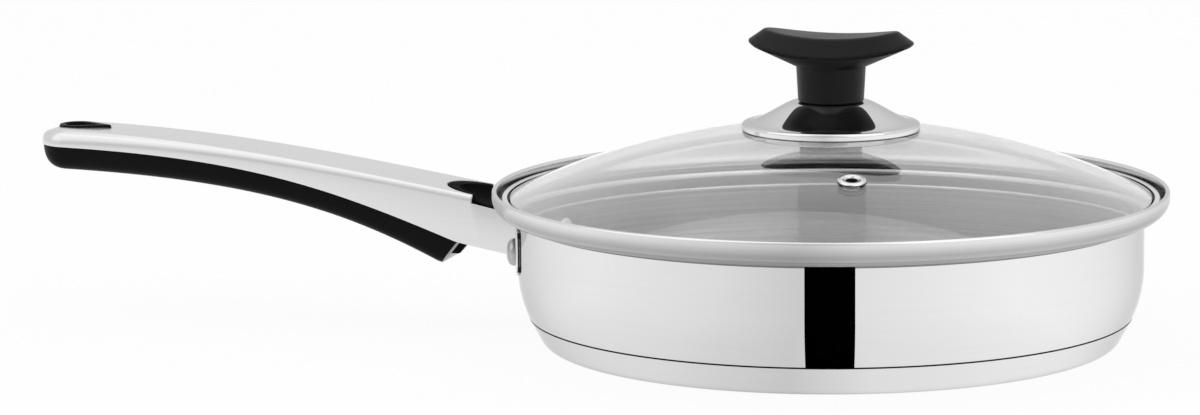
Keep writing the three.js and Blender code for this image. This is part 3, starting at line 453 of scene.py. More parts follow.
def pan_profile():
    """Profile of the pan, from its underside up the wall, over the lip and down inside."""
    drop = WALL_START - SEAM_Z
    step_r = CAP_INNER_TOP_R - STACK_GAP
    inner_seam = step_r - PAN_SHEET / math.cos(BASE_SLOPE)
    inner = corner_radius(PAN_INNER_R - inner_seam, drop)
    inner_turn = math.asin(drop / inner)
    floor_z = FLOOR_UNDER + PAN_SHEET
    pull = inner_seam - (SEAM_Z - floor_z) * math.tan(inner_turn)
    under_pull = step_r - (SEAM_Z - FLOOR_UNDER) * math.tan(inner_turn)
    floor_r, flat_r = pull - FLOOR_BLEND, pull - INSIDE_BLEND
    under = bezier([(floor_r, FLOOR_UNDER), (under_pull, FLOOR_UNDER), (step_r, SEAM_Z)], 12)
    corner = arc(PAN_INNER_R - inner, WALL_START, inner, inner, 0, -math.degrees(inner_turn), 24)
    flare = (RIM_FLARE - RIM_FILLET, RIM_RISE - LIP_HEIGHT)
    top = LIP_THICKNESS / 2
    edge = math.degrees(math.acos(min(1, (LIP_INNER_R - RIM_CENTRE_R) / DISH_RUN)))
    fillet_z = STEP_Z - RIM_FILLET
    inner_fillet = RIM_FILLET + PAN_SHEET
    return profile_of(
        (WALL_FINISH, [(0, FLOOR_UNDER), (floor_r / 2, FLOOR_UNDER)]),
        (WALL_FINISH, under[:-1]),
        # Painted shade on the step under the wall, in the seam gap
        (PAINTED_SHADE_FINISH, [(step_r, SEAM_Z)]),
        (WALL_FINISH, wall_curve(24)),
        (WALL_FINISH, [(WALL_R, fillet_z - EDGE_HOLD)]),
        (FLARE_FINISH, arc(RIM_CENTRE_R, fillet_z, RIM_FILLET, RIM_FILLET, 180, 90, 6)),
        (FLARE_FINISH, arc(RIM_CENTRE_R, LIP_START_Z, *flare, -90, 0, 24)[1:]),
        (FLARE_FINISH, arc(LIP_R - top, PAN_HEIGHT - top, top, top, 0, 180, 14)),
        (FLARE_FINISH, [(LIP_INNER_R, LIP_START_Z + LIP_BLEND)]),
        (FLARE_FINISH, arc(RIM_CENTRE_R, LIP_START_Z, DISH_RUN, DISH_DEPTH, -edge, -90, 14)),
        (INSIDE_FINISH, arc(RIM_CENTRE_R, fillet_z, inner_fillet, inner_fillet, 90, 180, 8)[1:]),
        (INSIDE_FINISH, [(PAN_INNER_R, fillet_z - EDGE_HOLD)]),
        (INSIDE_FINISH, corner),
        (INSIDE_FINISH, bezier([(inner_seam, SEAM_Z), (pull, floor_z), (flat_r, floor_z)], 24)[1:]),
        (INSIDE_FINISH, [(flat_r / 2, floor_z), (0, floor_z)]),
    )


def pan_body():
    points, tags = pan_profile()
    mesh = lathe("pan_body", points, LARGE_SEGMENTS, tags)
    add("pan_body", mesh, "pan", ["pan_shell"], [polished, brushed, flared, painted_shade_steel])


SEAM_CHAMFER = 0.35


def base_capsule():
    sweep = 90 - math.degrees(BASE_SLOPE)
    cone = CAP_HEIGHT - BASE_EDGE_R * (1 - math.cos(math.radians(sweep)))
    flat = SEAM_R - cone * math.tan(BASE_SLOPE) - BASE_EDGE_R * math.sin(math.radians(sweep))
    inner = BASE_EDGE_R - CAP_SHEET
    shoulder_r = SEAM_R - SEAM_CHAMFER * math.tan(BASE_SLOPE)
    shoulder = [(shoulder_r, CAP_HEIGHT - SEAM_CHAMFER), (shoulder_r - SEAM_CHAMFER, CAP_HEIGHT)]
    plain, seam = range(2)
    points, tags = profile_of(
        (plain, [(0, 0), (flat / 2, 0), (flat - EDGE_HOLD, 0)]),
        (plain, arc(flat, BASE_EDGE_R, BASE_EDGE_R, BASE_EDGE_R, -90, sweep - 90, 16)),
        # Painted shade on the cap's shoulder and top, in the seam gap
        (seam, shoulder + [(CAP_INNER_TOP_R, CAP_HEIGHT)]),
        (plain, arc(flat, BASE_EDGE_R, inner, inner, sweep - 90, -90, 8)),
        (plain, [(0, CAP_SHEET)]),
    )
    mesh = lathe("base_capsule", points, LARGE_SEGMENTS, tags)
    add("base_capsule", mesh, "pan", ["base_cap"], [polished, painted_shade_steel])


pan_body()
base_capsule()

# Rivets, with a button head outside and a broader one inside
RIVET_OFFSET, RIVET_Z = 30.5, STEP_Z - 14.9
RIVET_ANGLE = math.asin(RIVET_OFFSET / WALL_R)
RIVET_SHANK_R, RIVET_HEAD_R, RIVET_HEAD_HEIGHT = 2.6, 5.4, 3.4
RIVET_INNER_R, RIVET_INNER_HEIGHT = 5.8, 3.6
HEAD_FULLNESS, INNER_FULLNESS, RIVET_SEGMENTS = 2.6, 2.2, 64
EAR_SHEET = 0.8
EAR_INNER_R = WALL_R + STACK_GAP
EAR_OUTER_R = EAR_INNER_R + EAR_SHEET


def button(radius, height, seat, fullness, steps=14):
    """Profile of a domed head, from its rim on the seat to its crown; the fuller, the squarer."""
    points = []
    for i in range(steps + 1):
        turn = math.pi / 2 * i / steps
        across = radius * math.cos(turn) ** (2 / fullness) if i < steps else 0
        points.append((across, seat + height * math.sin(turn) ** (2 / fullness)))
    return points


def rivet(name, node_name, side):
    inner_seat = math.sqrt(PAN_INNER_R ** 2 - RIVET_INNER_R ** 2)
    outside, inside = range(2)
    points, tags = profile_of(
        (inside, button(RIVET_INNER_R, -RIVET_INNER_HEIGHT, inner_seat, INNER_FULLNESS)[::-1]),
        (outside, [(RIVET_SHANK_R, inner_seat), (RIVET_SHANK_R, EAR_OUTER_R)]),
        (outside, button(RIVET_HEAD_R, RIVET_HEAD_HEIGHT, EAR_OUTER_R, HEAD_FULLNESS)),
    )
    mesh = lathe(name, points, RIVET_SEGMENTS, tags)
    turn = Matrix.Rotation(math.pi - side * RIVET_ANGLE, 4, "Z") @ Matrix.Rotation(math.pi / 2, 4, "Y")
    mesh.transform(Matrix.Translation((0, 0, RIVET_Z * MM)) @ turn)
    # The inner head takes the painted light steel, lighter than the outer head
    add(name, mesh, "pan", [node_name], [rivet_steel, painted_light_steel])


rivet("rivet_head_near", "rivet_near", -1)
rivet("rivet_head_far", "rivet_far", 1)

# Handle lines, as reach from the pan's axis and height
HANDLE_REACH, HALF_WIDTH, SHEET = 201.3, 16.5, 1.2
CORNER_R, TIP_CORNER_R = 2.6, 6.0
TIP_LENGTH, TIP_SWEEP, TIP_DROP = 13.0, math.radians(87), 5.6
TIP_S = WALL_R + HANDLE_REACH
GRIP_INSET, GRIP_CORNER_R, GRIP_TIP_ROUNDING = 0.6, 5.0, 0.8
COVER_EDGE, EAR_EDGE, GRIP_EDGE, EYE_EDGE, GUARD_EDGE = 0.3, 0.2, 0.35, 0.6, 0.25
HANDLE_SHARP, GUARD_SHARP, LINE_STEPS = 50, 45, 240
OVERRUN = 2.0
ABOVE_HANDLE = STEP_Z + 28.0


def side_points(*points):
    return [(WALL_R + s, STEP_Z + z) for s, z in points]


def height_on(line):
    """Height of a side line at a given reach."""
    table = bezier(line, LINE_STEPS)

    def height(s):
        for (s0, z0), (s1, z1) in zip(table, table[1:]):
            if s <= s1:
                return z0 + (z1 - z0) * (s - s0) / (s1 - s0)
        return table[-1][1]
    return height


EDGE_ROOT, KNEE, NOSE = side_points((0, -19.4), (25.2, -14.5), (32.6, -23.8))
top_z = height_on(side_points((0, 0.9), (84.2, 15), (134.2, 23.4), (HANDLE_REACH, 24.3)))
curve_z = height_on([KNEE] + side_points((79.2, 6), (114.2, 16.5), (HANDLE_REACH, 17.7)))
under_z = height_on([NOSE] + side_points((74.2, -3.4), (114.2, 7), (HANDLE_REACH, 8.3)))


def on_line(a, b, value, across=0):
    """Point of the straight line through a and b, by its reach or by its height."""
    other = 1 - across
    return a[other] + (value - a[across]) * (b[other] - a[other]) / (b[across] - a[across])


def edge_z(s):
    return on_line(EDGE_ROOT, KNEE, s) if s < KNEE[0] else curve_z(s)


def grip_front(z):
    return on_line(NOSE, KNEE, z, across=1)


def corner_at(s):
    """Rounding of the cover's edges, which grows towards the tip."""
    share = max(0, (s - WALL_R) / HANDLE_REACH)
    return between(CORNER_R, TIP_CORNER_R, share ** 2)


def stations(start, inset, body_count=60, tip_count=26):
    """Places along the handle, each with the share of the width that is left and how far the tip drops."""
    bend = TIP_S - TIP_LENGTH
    made = [(between(start, bend, i / body_count), 1.0, 0.0) for i in range(body_count)]
    for i in range(tip_count + 1):
        turn = TIP_SWEEP * i / tip_count
        made.append((bend + (TIP_LENGTH - inset) * math.sin(turn), math.cos(turn), 1 - math.cos(turn)))
    return made


def arch(s, half, square, rounded, corner, steps=10):
    """Section of the handle, square on one side and rounded on the other."""
    flip = 1 if rounded > square else -1
    corner = min(corner, half, abs(rounded - square))
    points = [(-s, -half, square)]
    for side in (-1, 1):
        for i in range(steps + 1):
            turn = (i if side < 0 else steps - i) / steps * math.pi / 2
            y = side * (half - corner + corner * math.cos(turn))
            points.append((-s, y, rounded - flip * corner * (1 - math.sin(turn))))
    return points + [(-s, half, square)]


SHOULDER_S, SHOULDER_Z = WALL_R + 19.2, STEP_Z + 0.8
CHEEK_ROOT = (WALL_R + 5, STEP_Z - 2.2)
NOTCH_RUN, NOTCH_HALF_WIDTH = 14.2, 14.0
EYE_S, EYE_R, EYE_POINT, EYE_WALL, EYE_PROUD = WALL_R + 187.6, 7.2, 14.4, 2.3, 0.7


def notch_side():
    """Side view of all that is open above the cheeks, beside the pan."""
    start = PAN_INNER_R - OVERRUN
    low = on_line(CHEEK_ROOT, (SHOULDER_S, SHOULDER_Z), start)
    return [(SHOULDER_S, SHOULDER_Z), (start, low), (start, ABOVE_HANDLE), (SHOULDER_S, ABOVE_HANDLE)]


def notch_plan(inset):
    """Rounded notch in the cover's top, seen from above."""
    return arc(-SHOULDER_S, 0, NOTCH_RUN - inset, NOTCH_HALF_WIDTH - inset, 90, 270, 40)


def eye_outline(offset, steps=36):
    """Teardrop of the hanging eye, round towards the tip and pointed towards the pan."""
    radius = EYE_R + offset
    lean = math.acos(EYE_R / EYE_POINT)
    points = [(-EYE_S + radius / math.cos(lean), 0)]
    for i in range(steps + 1):
        turn = lean + (2 * math.pi - 2 * lean) * i / steps
        points.append((-EYE_S + radius * math.cos(turn), radius * math.sin(turn)))
    return points


def drum(radius, low, high, segments=LARGE_SEGMENTS):
    circle = arc(0, 0, radius, radius, 0, 360, segments)[:-1]
    return solid(*loft([[(x, y, z) for x, y in circle] for z in (low, high)]))


def handle_cover():
    start = PAN_INNER_R - OVERRUN
    outer, inner = [], []
    for s, share, tip in stations(start, 0):
        outer.append(arch(s, HALF_WIDTH * share, edge_z(s), top_z(s) - TIP_DROP * tip, corner_at(s)))
    for s, share, tip in stations(start - OVERRUN, SHEET):
        top, half = top_z(s) - TIP_DROP * tip - SHEET, (HALF_WIDTH - SHEET) * share
        inner.append(arch(s, half, edge_z(s) - HALF_WIDTH, top, corner_at(s) - SHEET))
    mesh = combine(solid(*loft(outer)), [
        ("DIFFERENCE", solid(*loft(inner))),
        ("DIFFERENCE", prism(notch_side(), -HALF_WIDTH - OVERRUN, HALF_WIDTH + OVERRUN, across=True)),
        ("DIFFERENCE", prism(notch_plan(0), SHOULDER_Z, ABOVE_HANDLE)),
        ("DIFFERENCE", drum(EAR_INNER_R, 0, ABOVE_HANDLE)),
        ("DIFFERENCE", prism(eye_outline(SEAT_GAP), STEP_Z, ABOVE_HANDLE)),
    ], bevel=COVER_EDGE)
    add("handle_cover", mesh, "pan", ["handle_shell"], [satin], sharp=HANDLE_SHARP)


EAR_OUT, EAR_IN, EAR_BELOW, EAR_ABOVE, EAR_CORNER_R = 18.0, 15.2, 6.8, 11.8, 4.0
HALF_TURNED, SQUARE_ON = 0.5, 0.9


def ear(name, side, count=40):
    """Ear of the handle's cover, wrapped along the wall past its rivet, with painted shade on its cut ends.
    """
    rings = []
    for i in range(count + 1):
        t = between(-EAR_OUT, EAR_IN, i / count)
        into = max(0, EAR_CORNER_R - EAR_OUT - t)
        round_off = EAR_CORNER_R - math.sqrt(EAR_CORNER_R ** 2 - into ** 2)
        turn = math.pi - side * (RIVET_ANGLE - t / WALL_R)
        low, high = RIVET_Z - EAR_BELOW + round_off, RIVET_Z + EAR_ABOVE - round_off
        corners = ((EAR_INNER_R, low), (EAR_OUTER_R, low), (EAR_OUTER_R, high), (EAR_INNER_R, high))
        rings.append([(r * math.cos(turn), r * math.sin(turn), z) for r, z in corners])
    mesh = combine(solid(*loft(rings)), [], bevel=EAR_EDGE)
    # Faces that are neither radial nor upright, the cut ends, take painted shade
    for face in mesh.polygons:
        out = Vector((face.center.x, face.center.y, 0)).normalized()
        face.material_index = int(max(abs(face.normal.dot(out)), abs(face.normal.z)) < HALF_TURNED)
    add(name, mesh, "pan", [], [satin, painted_shade_steel], sharp=HANDLE_SHARP)


def grip_handle():
    rings = []
    for s, share, tip in stations(KNEE[0] - OVERRUN, GRIP_INSET):
        top = edge_z(s) - STACK_GAP
        depth = (top - under_z(max(s, NOSE[0]))) * (1 - tip) ** GRIP_TIP_ROUNDING
        rings.append(arch(s, (HALF_WIDTH - GRIP_INSET) * share, top, top - depth, GRIP_CORNER_R))
    wedge = [(grip_front(0), 0), (0, 0), (0, ABOVE_HANDLE), (grip_front(ABOVE_HANDLE), ABOVE_HANDLE)]
    mesh = combine(solid(*loft(rings)), [
        ("DIFFERENCE", prism(wedge, -HALF_WIDTH - OVERRUN, HALF_WIDTH + OVERRUN, across=True)),
        ("DIFFERENCE", prism(eye_outline(SEAT_GAP), 0, ABOVE_HANDLE)),
    ], bevel=GRIP_EDGE)
    # The grip's front face takes the slightly lighter black, painted highlight
    front = Vector((NOSE[1] - KNEE[1], 0, NOSE[0] - KNEE[0])).normalized()
    for face in mesh.polygons:
        facing = abs(face.normal.dot(front)) > SQUARE_ON
        face.material_index = int(facing and face.normal.x > HALF_TURNED)
    finishes = [black, highlight_black]
    grip = add("grip_handle", mesh, "pan", ["handle_grip"], finishes, sharp=HANDLE_SHARP)
    grip.visible_glossy = False


def eye_sleeve():
    low, high = under_z(EYE_S), top_z(EYE_S) + EYE_PROUD
    body = prism(eye_outline(0), low, high)
    bore = prism(eye_outline(-EYE_WALL), low - OVERRUN, high + OVERRUN)
    mesh = combine(body, [("DIFFERENCE", bore)], bevel=EYE_EDGE)
    add("eye_sleeve", mesh, "pan", ["hanging_eye"], [black], sharp=HANDLE_SHARP)


# Heat guard between the cheeks: flush in the notch, scooped beside the pan, on two small feet
GUARD_HALF_WIDTH = HALF_WIDTH - SHEET - SEAT_GAP
GUARD_WIDTH = (-GUARD_HALF_WIDTH, GUARD_HALF_WIDTH)
GUARD_FRONT_S, GUARD_TAIL_S = WALL_R + 2.4, SHOULDER_S + NOTCH_RUN + 3
GUARD_DISH, GUARD_FLOOR_RISE, GUARD_FLUSH_GAP = 1.6, 1.5, 0.2
SCOOP_S, SCOOP_Z, SCOOP_SIZE = WALL_R + 12, STEP_Z + 5.5, (16.5, 12.0, 6.5)
FOOT_OFFSET, FOOT_WIDTH, FOOT_THICKNESS, FOOT_DROP, FOOT_GAP = 13.3, 2.6, 3.2, 4.8, 1.0


def guard_low(s):
    return edge_z(s) + GUARD_FLOOR_RISE


def guard_side():
    """Side view of the guard between the cheeks and under the cover."""
    def under_cover(s):
        return top_z(s) - CORNER_R - SEAT_GAP
    return [(GUARD_FRONT_S, guard_low(GUARD_FRONT_S)), (GUARD_FRONT_S, CHEEK_ROOT[1] - GUARD_DISH),
            (SHOULDER_S, SHOULDER_Z), (SHOULDER_S, under_cover(SHOULDER_S)),
            (GUARD_TAIL_S, under_cover(GUARD_TAIL_S)), (GUARD_TAIL_S, guard_low(GUARD_TAIL_S)),
            (KNEE[0], guard_low(KNEE[0]))]


def guard_tongue():
    """Tongue of the guard, which fills the notch in the cover."""
    tip_s = SHOULDER_S + NOTCH_RUN
    sunk = SHOULDER_Z - GUARD_DISH
    rise = bezier([((GUARD_FRONT_S + SHOULDER_S) / 2, sunk), (SHOULDER_S, SHOULDER_Z),
                   (SHOULDER_S, top_z(SHOULDER_S) - GUARD_FLUSH_GAP)], 10)
    side = rise + [(tip_s, top_z(tip_s) - GUARD_FLUSH_GAP), (tip_s, sunk)]
    plan = notch_plan(SEAT_GAP) + [(-WALL_R, -NOTCH_HALF_WIDTH), (-WALL_R, NOTCH_HALF_WIDTH)]
    notch = prism(plan, 0, ABOVE_HANDLE)
    return scratch(combine(prism(side, *GUARD_WIDTH, across=True), [("INTERSECT", notch)]))


def guard_scoop():
    """Ball that hollows the guard beside the pan."""
    work = bmesh.new()
    bmesh.ops.create_uvsphere(work, u_segments=64, v_segments=32, radius=MM)
    ball = bpy.data.meshes.new("scratch")
    work.to_mesh(ball)
    work.free()
    ball.transform(Matrix.Translation((-SCOOP_S * MM, 0, SCOOP_Z * MM)) @ Matrix.Diagonal((*SCOOP_SIZE, 1)))
    return scratch(ball)


def guard_foot(middle):
    """Foot of the guard, just ahead of the grip's front."""
    def back(z):
        return grip_front(z) - FOOT_GAP
    low, high = KNEE[1] - FOOT_DROP, guard_low(KNEE[0]) + GUARD_FLOOR_RISE
    side = [(back(low), low), (back(low) - FOOT_THICKNESS, low),
            (back(high) - FOOT_THICKNESS, high), (back(high), high)]
    return prism(side, middle - FOOT_WIDTH / 2, middle + FOOT_WIDTH / 2, across=True)


def heat_guard():
    steps = [("UNION", guard_tongue()), ("DIFFERENCE", guard_scoop())]
    steps += [("UNION", guard_foot(side * FOOT_OFFSET)) for side in (-1, 1)]
    mesh = combine(prism(guard_side(), *GUARD_WIDTH, across=True), steps, bevel=GUARD_EDGE)
    guard = add("guard_insert", mesh, "pan", ["heat_guard"], [matte_black],
                sharp=GUARD_SHARP)
    guard.visible_glossy = False


handle_cover()
ear("ear_near", -1)
ear("ear_far", 1)
grip_handle()
eye_sleeve()
heat_guard()

# Lid: band, seal, dome and vent
LID_GAP, BAND_SHEET, BAND_LIP, BAND_HEIGHT = 1.6, 0.8, 2.3, 6.0
BAND_R = LIP_INNER_R - LID_GAP
BAND_INNER_R = BAND_R - BAND_SHEET
FLANGE_R = RIM_CENTRE_R + 2.2
FLANGE_Z = seat_z(FLANGE_R) + SEAT_GAP
BAND_TOP_Z = FLANGE_Z + BAND_HEIGHT
CONE_TOP_Z = seat_z(BAND_R) + SEAT_GAP
SKIRT_R, SKIRT_DEPTH, HEM_R, BEND_R = PAN_INNER_R - 0.8, 7.0, 0.8, 2.0
SEAL_LOW, SEAL_FLOOR, SEAL_REACH = FLANGE_Z + BAND_SHEET + STACK_GAP, 0.5, 2.4
GLASS_R = FLANGE_R - STACK_GAP
GLASS_T, DOME_RISE, GLASS_HOLE_R, GLASS_ARRIS = 4.0, 27.6, 3.4, 0.3
GLASS_LOW = SEAL_LOW + SEAL_FLOOR + STACK_GAP
APEX_Z = GLASS_LOW + GLASS_T + DOME_RISE
DOME_R = (GLASS_R ** 2 + DOME_RISE ** 2) / (2 * DOME_RISE)
DOME_CENTRE_Z = APEX_Z - DOME_R
DOME_STEPS, DOME_SHARP, KNOB_SHARP = 56, 30, 38


def dome_z(radius):
    return DOME_CENTRE_Z + math.sqrt(DOME_R ** 2 - radius ** 2)


def lid_rim():
    """Steel band: a hemmed skirt in the pan, a seat flange and a folded edge beside the glass; the skirt's
    inner face is painted dark as shade, the hem and the bend painted light as highlights.
    """
    inner = SKIRT_R - BAND_SHEET
    hem_z = FLANGE_Z - SKIRT_DEPTH + HEM_R
    bead = BAND_SHEET / 2
    bend = arc(inner + BEND_R, FLANGE_Z + BAND_SHEET - BEND_R, BEND_R, BEND_R, 90, 180, 8)
    # The skirt's inner face takes painted shade; the hem and the bend take the painted light steel
    band, skirt, shiny_or_painted_light = range(3)
    points, tags = profile_of(
        (shiny_or_painted_light, arc(SKIRT_R - HEM_R, hem_z, HEM_R, HEM_R, 120, 360, 16)),
        (band, arc(SKIRT_R + HEM_R, FLANGE_Z - HEM_R, HEM_R, HEM_R, 180, 90, 5)),
        (band, [(FLANGE_R, FLANGE_Z), (BAND_R, CONE_TOP_Z)]),
        (band, arc(BAND_R - BAND_SHEET, BAND_TOP_Z - BAND_SHEET, BAND_SHEET, BAND_SHEET, 0, 90, 8)),
        (band, arc(BAND_R - BAND_LIP + bead, BAND_TOP_Z - bead, bead, bead, 90, 270, 10)),
        (band, [(BAND_INNER_R, BAND_TOP_Z - BAND_SHEET), (BAND_INNER_R, CONE_TOP_Z + BAND_SHEET)]),
        (shiny_or_painted_light, [(FLANGE_R, FLANGE_Z + BAND_SHEET)] + bend[:-1]),
        (skirt, [bend[-1], (inner, hem_z + 2 * HEM_R)]),
    )
    mesh = lathe("lid_rim", points, LARGE_SEGMENTS, tags)
    add("lid_rim", mesh, "lid", ["lid_band"], [bright, shaded_skirt_steel, painted_light_steel])


def lid_gasket():
    outer, beside, reach = BAND_INNER_R - STACK_GAP, GLASS_R + STACK_GAP, GLASS_R - SEAL_REACH
    top, low = BAND_TOP_Z - BAND_SHEET - STACK_GAP, SEAL_LOW + SEAL_FLOOR
    points = [(reach, SEAL_LOW), (FLANGE_R, SEAL_LOW), (outer, CONE_TOP_Z + BAND_SHEET + STACK_GAP),
              (outer, top), (beside, top), (beside, low), (reach, low)]
    mesh = lathe("lid_gasket", points, LARGE_SEGMENTS)
    add("lid_gasket", mesh, "lid", ["lid_seal"], [rubber])


VENT_RADIUS, VENT_ANGLE = 77.5, math.radians(-71.3)
VENT_TILT = math.asin(VENT_RADIUS / DOME_R)
VENT_BARREL_R, VENT_BORE_R, VENT_FLANGE_R, VENT_CROWN, VENT_WASHER = 3.6, 2.3, 5.5, 0.9, 1.0
VENT_LIFT = DOME_CENTRE_Z + DOME_R * math.cos(VENT_TILT)
VENT_SEGMENTS, VENT_HOLE_SEGMENTS = 72, 48
ON_VENT = Matrix.Rotation(VENT_ANGLE, 4, "Z") @ (
    Matrix.Translation((VENT_RADIUS * MM, 0, VENT_LIFT * MM)) @ Matrix.Rotation(VENT_TILT, 4, "Y"))


def lid_dome():
    def turn_at(radius):
        return math.degrees(math.acos(radius / DOME_R))
    rim, centre = turn_at(GLASS_R - GLASS_ARRIS), turn_at(GLASS_HOLE_R)
    points = arc(0, DOME_CENTRE_Z - GLASS_T, DOME_R, DOME_R, centre, rim, DOME_STEPS)
    top = dome_z(GLASS_R)
    points += [(GLASS_R, top - GLASS_T + GLASS_ARRIS), (GLASS_R, top - GLASS_ARRIS)]
    points += arc(0, DOME_CENTRE_Z, DOME_R, DOME_R, rim, centre, DOME_STEPS)
    hole = drum(VENT_BARREL_R + STACK_GAP, -GLASS_T - OVERRUN, OVERRUN, VENT_HOLE_SEGMENTS)
    hole.data.transform(ON_VENT)
    mesh = combine(scratch(lathe("lid_dome", points)), [("DIFFERENCE", hole)])
    add("lid_dome", mesh, "lid", ["lid_glass"], [glass], sharp=DOME_SHARP)


def vent():
    under = -GLASS_T - SEAT_GAP
    washer_low = under - VENT_WASHER
    half = (VENT_FLANGE_R - VENT_BORE_R) / 2
    foot, middle = washer_low - EDGE_HOLD, VENT_BORE_R + half
    # dark takes painted shade: the eyelet's bore and barrel, the outer edge of its crown, the washer's face
    # under the glass and its bore; shiny is plain polished steel here
    shiny_or_painted_light, dark = range(2)
    eyelet = profile_of(
        (dark, [(VENT_BORE_R, foot), (VENT_BARREL_R, foot), (VENT_BARREL_R, 0)]),
        (dark, arc(middle, EDGE_HOLD, half, VENT_CROWN, -10, 20, 4)[:-1]),
        (shiny_or_painted_light, arc(middle, EDGE_HOLD, half, VENT_CROWN, 20, 180, 16)[:-1]),
        (dark, [(VENT_BORE_R, EDGE_HOLD)]),
    )
    bore = VENT_BARREL_R + STACK_GAP
    washer = profile_of(
        (shiny_or_painted_light, [(bore, washer_low), (VENT_FLANGE_R, washer_low)]),
        (dark, [(VENT_FLANGE_R, under), (bore, under)]),
    )
    for name, node_name, (points, tags) in (("vent_eye", "vent_eyelet", eyelet),
                                            ("vent_ring", "vent_washer", washer)):
        mesh = lathe(name, points, VENT_SEGMENTS, tags)
        mesh.transform(ON_VENT)
        add(name, mesh, "lid", [node_name], [bright, painted_shade_steel])


# Bell plate and knob
PLATE_R, PLATE_SHEET, PLATE_EDGE, PLATE_BLEND, PLATE_RISE = 34.4, 0.8, 2.6, 1.4, 10.6
BRIM_PULL, BOSS_PULL, BOSS_R, SCREW_HOLE_R = 5.0, 2.5, 15.0, 2.6
PLATE_LOW = dome_z(PLATE_R) + SEAT_GAP
BRIM_Z, BOSS_Z = PLATE_LOW + PLATE_EDGE, PLATE_LOW + PLATE_RISE


def bell_plate():
    brim = PLATE_R - PLATE_BLEND
    points = [(PLATE_R - PLATE_SHEET, PLATE_LOW), (PLATE_R, PLATE_LOW)]
    points += bezier([(PLATE_R, BRIM_Z - PLATE_BLEND), (PLATE_R, BRIM_Z), (brim, BRIM_Z)], 8)
    bell = [(brim, BRIM_Z), (brim - BRIM_PULL, BRIM_Z), (BOSS_R + BOSS_PULL, BOSS_Z), (BOSS_R, BOSS_Z)]
    points += bezier(bell, 32)[1:]
    points += [(SCREW_HOLE_R, BOSS_Z), (SCREW_HOLE_R, BOSS_Z - PLATE_SHEET)]
    points += bezier([(r, z - PLATE_SHEET) for r, z in reversed(bell)], 24)
    points += [(PLATE_R - PLATE_SHEET, BRIM_Z - PLATE_BLEND)]
    add("bell_plate", lathe("bell_plate", points), "lid", ["knob_plate"], [polished])


FOOT_R, FOOT_BLEND, STEM_R, STEM_HEIGHT = 12.7, 1.0, 13.4, 13.6
KNOB_LENGTH, KNOB_DEPTH, TOP_LENGTH, TOP_DEPTH, TOP_BLEND = 32.3, 15.5, 27.2, 10.8, 2.4
UNDER_RISE, SIDE_RISE, EDGE_LIFT, TOP_LIFT, EDGE_ROUND = 3.8, 7.8, 4.6, 2.4, 0.9
KNOB_LOW = BOSS_Z + STACK_GAP
STEM_TOP = KNOB_LOW + STEM_HEIGHT
ROUND, KNOB_OVAL = 2, 2.2
# Where the knob's rings lie: shares of each stretch, and turns of its rounded edges in degrees
STEM_SHARES, UNDER_SHARES = (0.3, 0.6, 0.94, 1.0), (0.03, 0.1, 0.25, 0.4, 0.55, 0.7, 0.85, 0.94)
SIDE_SHARES, CROWN_SHARES = (0.08, 0.25, 0.5, 0.75, 0.92, 1.0), (0.9, 0.75, 0.6, 0.45, 0.3, 0.15)
EDGE_TURNS, TOP_TURNS, TOP_LEAN = (-50, -25, 0, 25, 45), (54, 63, 72, 81, 90), math.radians(45)


def oval(length, depth, z, lift, power=KNOB_OVAL, count=128):
    """Ring of the knob; its height lifts towards the ends, as the saddle top does."""
    points = []
    for i in range(count):
        turn = 2 * math.pi * i / count
        c, s = math.cos(turn), math.sin(turn)
        x = length * math.copysign(abs(c) ** (2 / power), c)
        y = depth * math.copysign(abs(s) ** (2 / power), s)
        points.append((x, y, z + lift * (x / length) ** 2))
    return points


def stem_rings():
    """Rings of the knob's foot, its stem and the underside of its saddle."""
    foot = FOOT_R - FOOT_BLEND
    rings = [oval(foot / 2, foot / 2, KNOB_LOW, 0, ROUND)]
    for r, z in arc(foot, KNOB_LOW + FOOT_BLEND, FOOT_BLEND, FOOT_BLEND, -90, 0, 5):
        rings.append(oval(r, r, z, 0, ROUND))
    for k in STEM_SHARES:
        r = between(FOOT_R, STEM_R, k)
        rings.append(oval(r, r, between(KNOB_LOW + FOOT_BLEND, STEM_TOP, k), 0, ROUND))
    for k in UNDER_SHARES:
        length, depth = between(STEM_R, KNOB_LENGTH, k), between(STEM_R, KNOB_DEPTH, k)
        power = between(ROUND, KNOB_OVAL, k)
        rings.append(oval(length, depth, STEM_TOP + UNDER_RISE * k, EDGE_LIFT * k, power))
    return rings


def saddle_rings():
    """Rings of the knob's edge, its leaning sides and its saddle top."""
    crease = STEM_TOP + UNDER_RISE
    top = crease + SIDE_RISE
    rings = []
    for turn in EDGE_TURNS:
        out = EDGE_ROUND * (1 - math.cos(math.radians(turn)))
        rise = EDGE_ROUND * (1 + math.sin(math.radians(turn)))
        rings.append(oval(KNOB_LENGTH - out, KNOB_DEPTH - out, crease + rise, EDGE_LIFT))
    low, high = crease + rise, top - TOP_BLEND * (1 - math.sin(TOP_LEAN))
    for k in SIDE_SHARES:
        length, depth = between(KNOB_LENGTH - out, TOP_LENGTH, k), between(KNOB_DEPTH - out, TOP_DEPTH, k)
        rings.append(oval(length, depth, between(low, high, k), between(EDGE_LIFT, TOP_LIFT, k)))
    for turn in TOP_TURNS:
        out = TOP_BLEND * (math.cos(TOP_LEAN) - math.cos(math.radians(turn)))
        rise = TOP_BLEND * (math.sin(math.radians(turn)) - math.sin(TOP_LEAN))
        rings.append(oval(TOP_LENGTH - out, TOP_DEPTH - out, high + rise, TOP_LIFT))
    for k in CROWN_SHARES:
        rings.append(oval((TOP_LENGTH - out) * k, (TOP_DEPTH - out) * k, top, TOP_LIFT * k * k))
    return rings


def saddle_knob():
    mesh = combine(solid(*loft(stem_rings() + saddle_rings())), [])
    add("saddle_knob", mesh, "lid", ["knob"], [knob_black], sharp=KNOB_SHARP)


lid_rim()
lid_gasket()
lid_dome()
vent()
bell_plate()
saddle_knob()

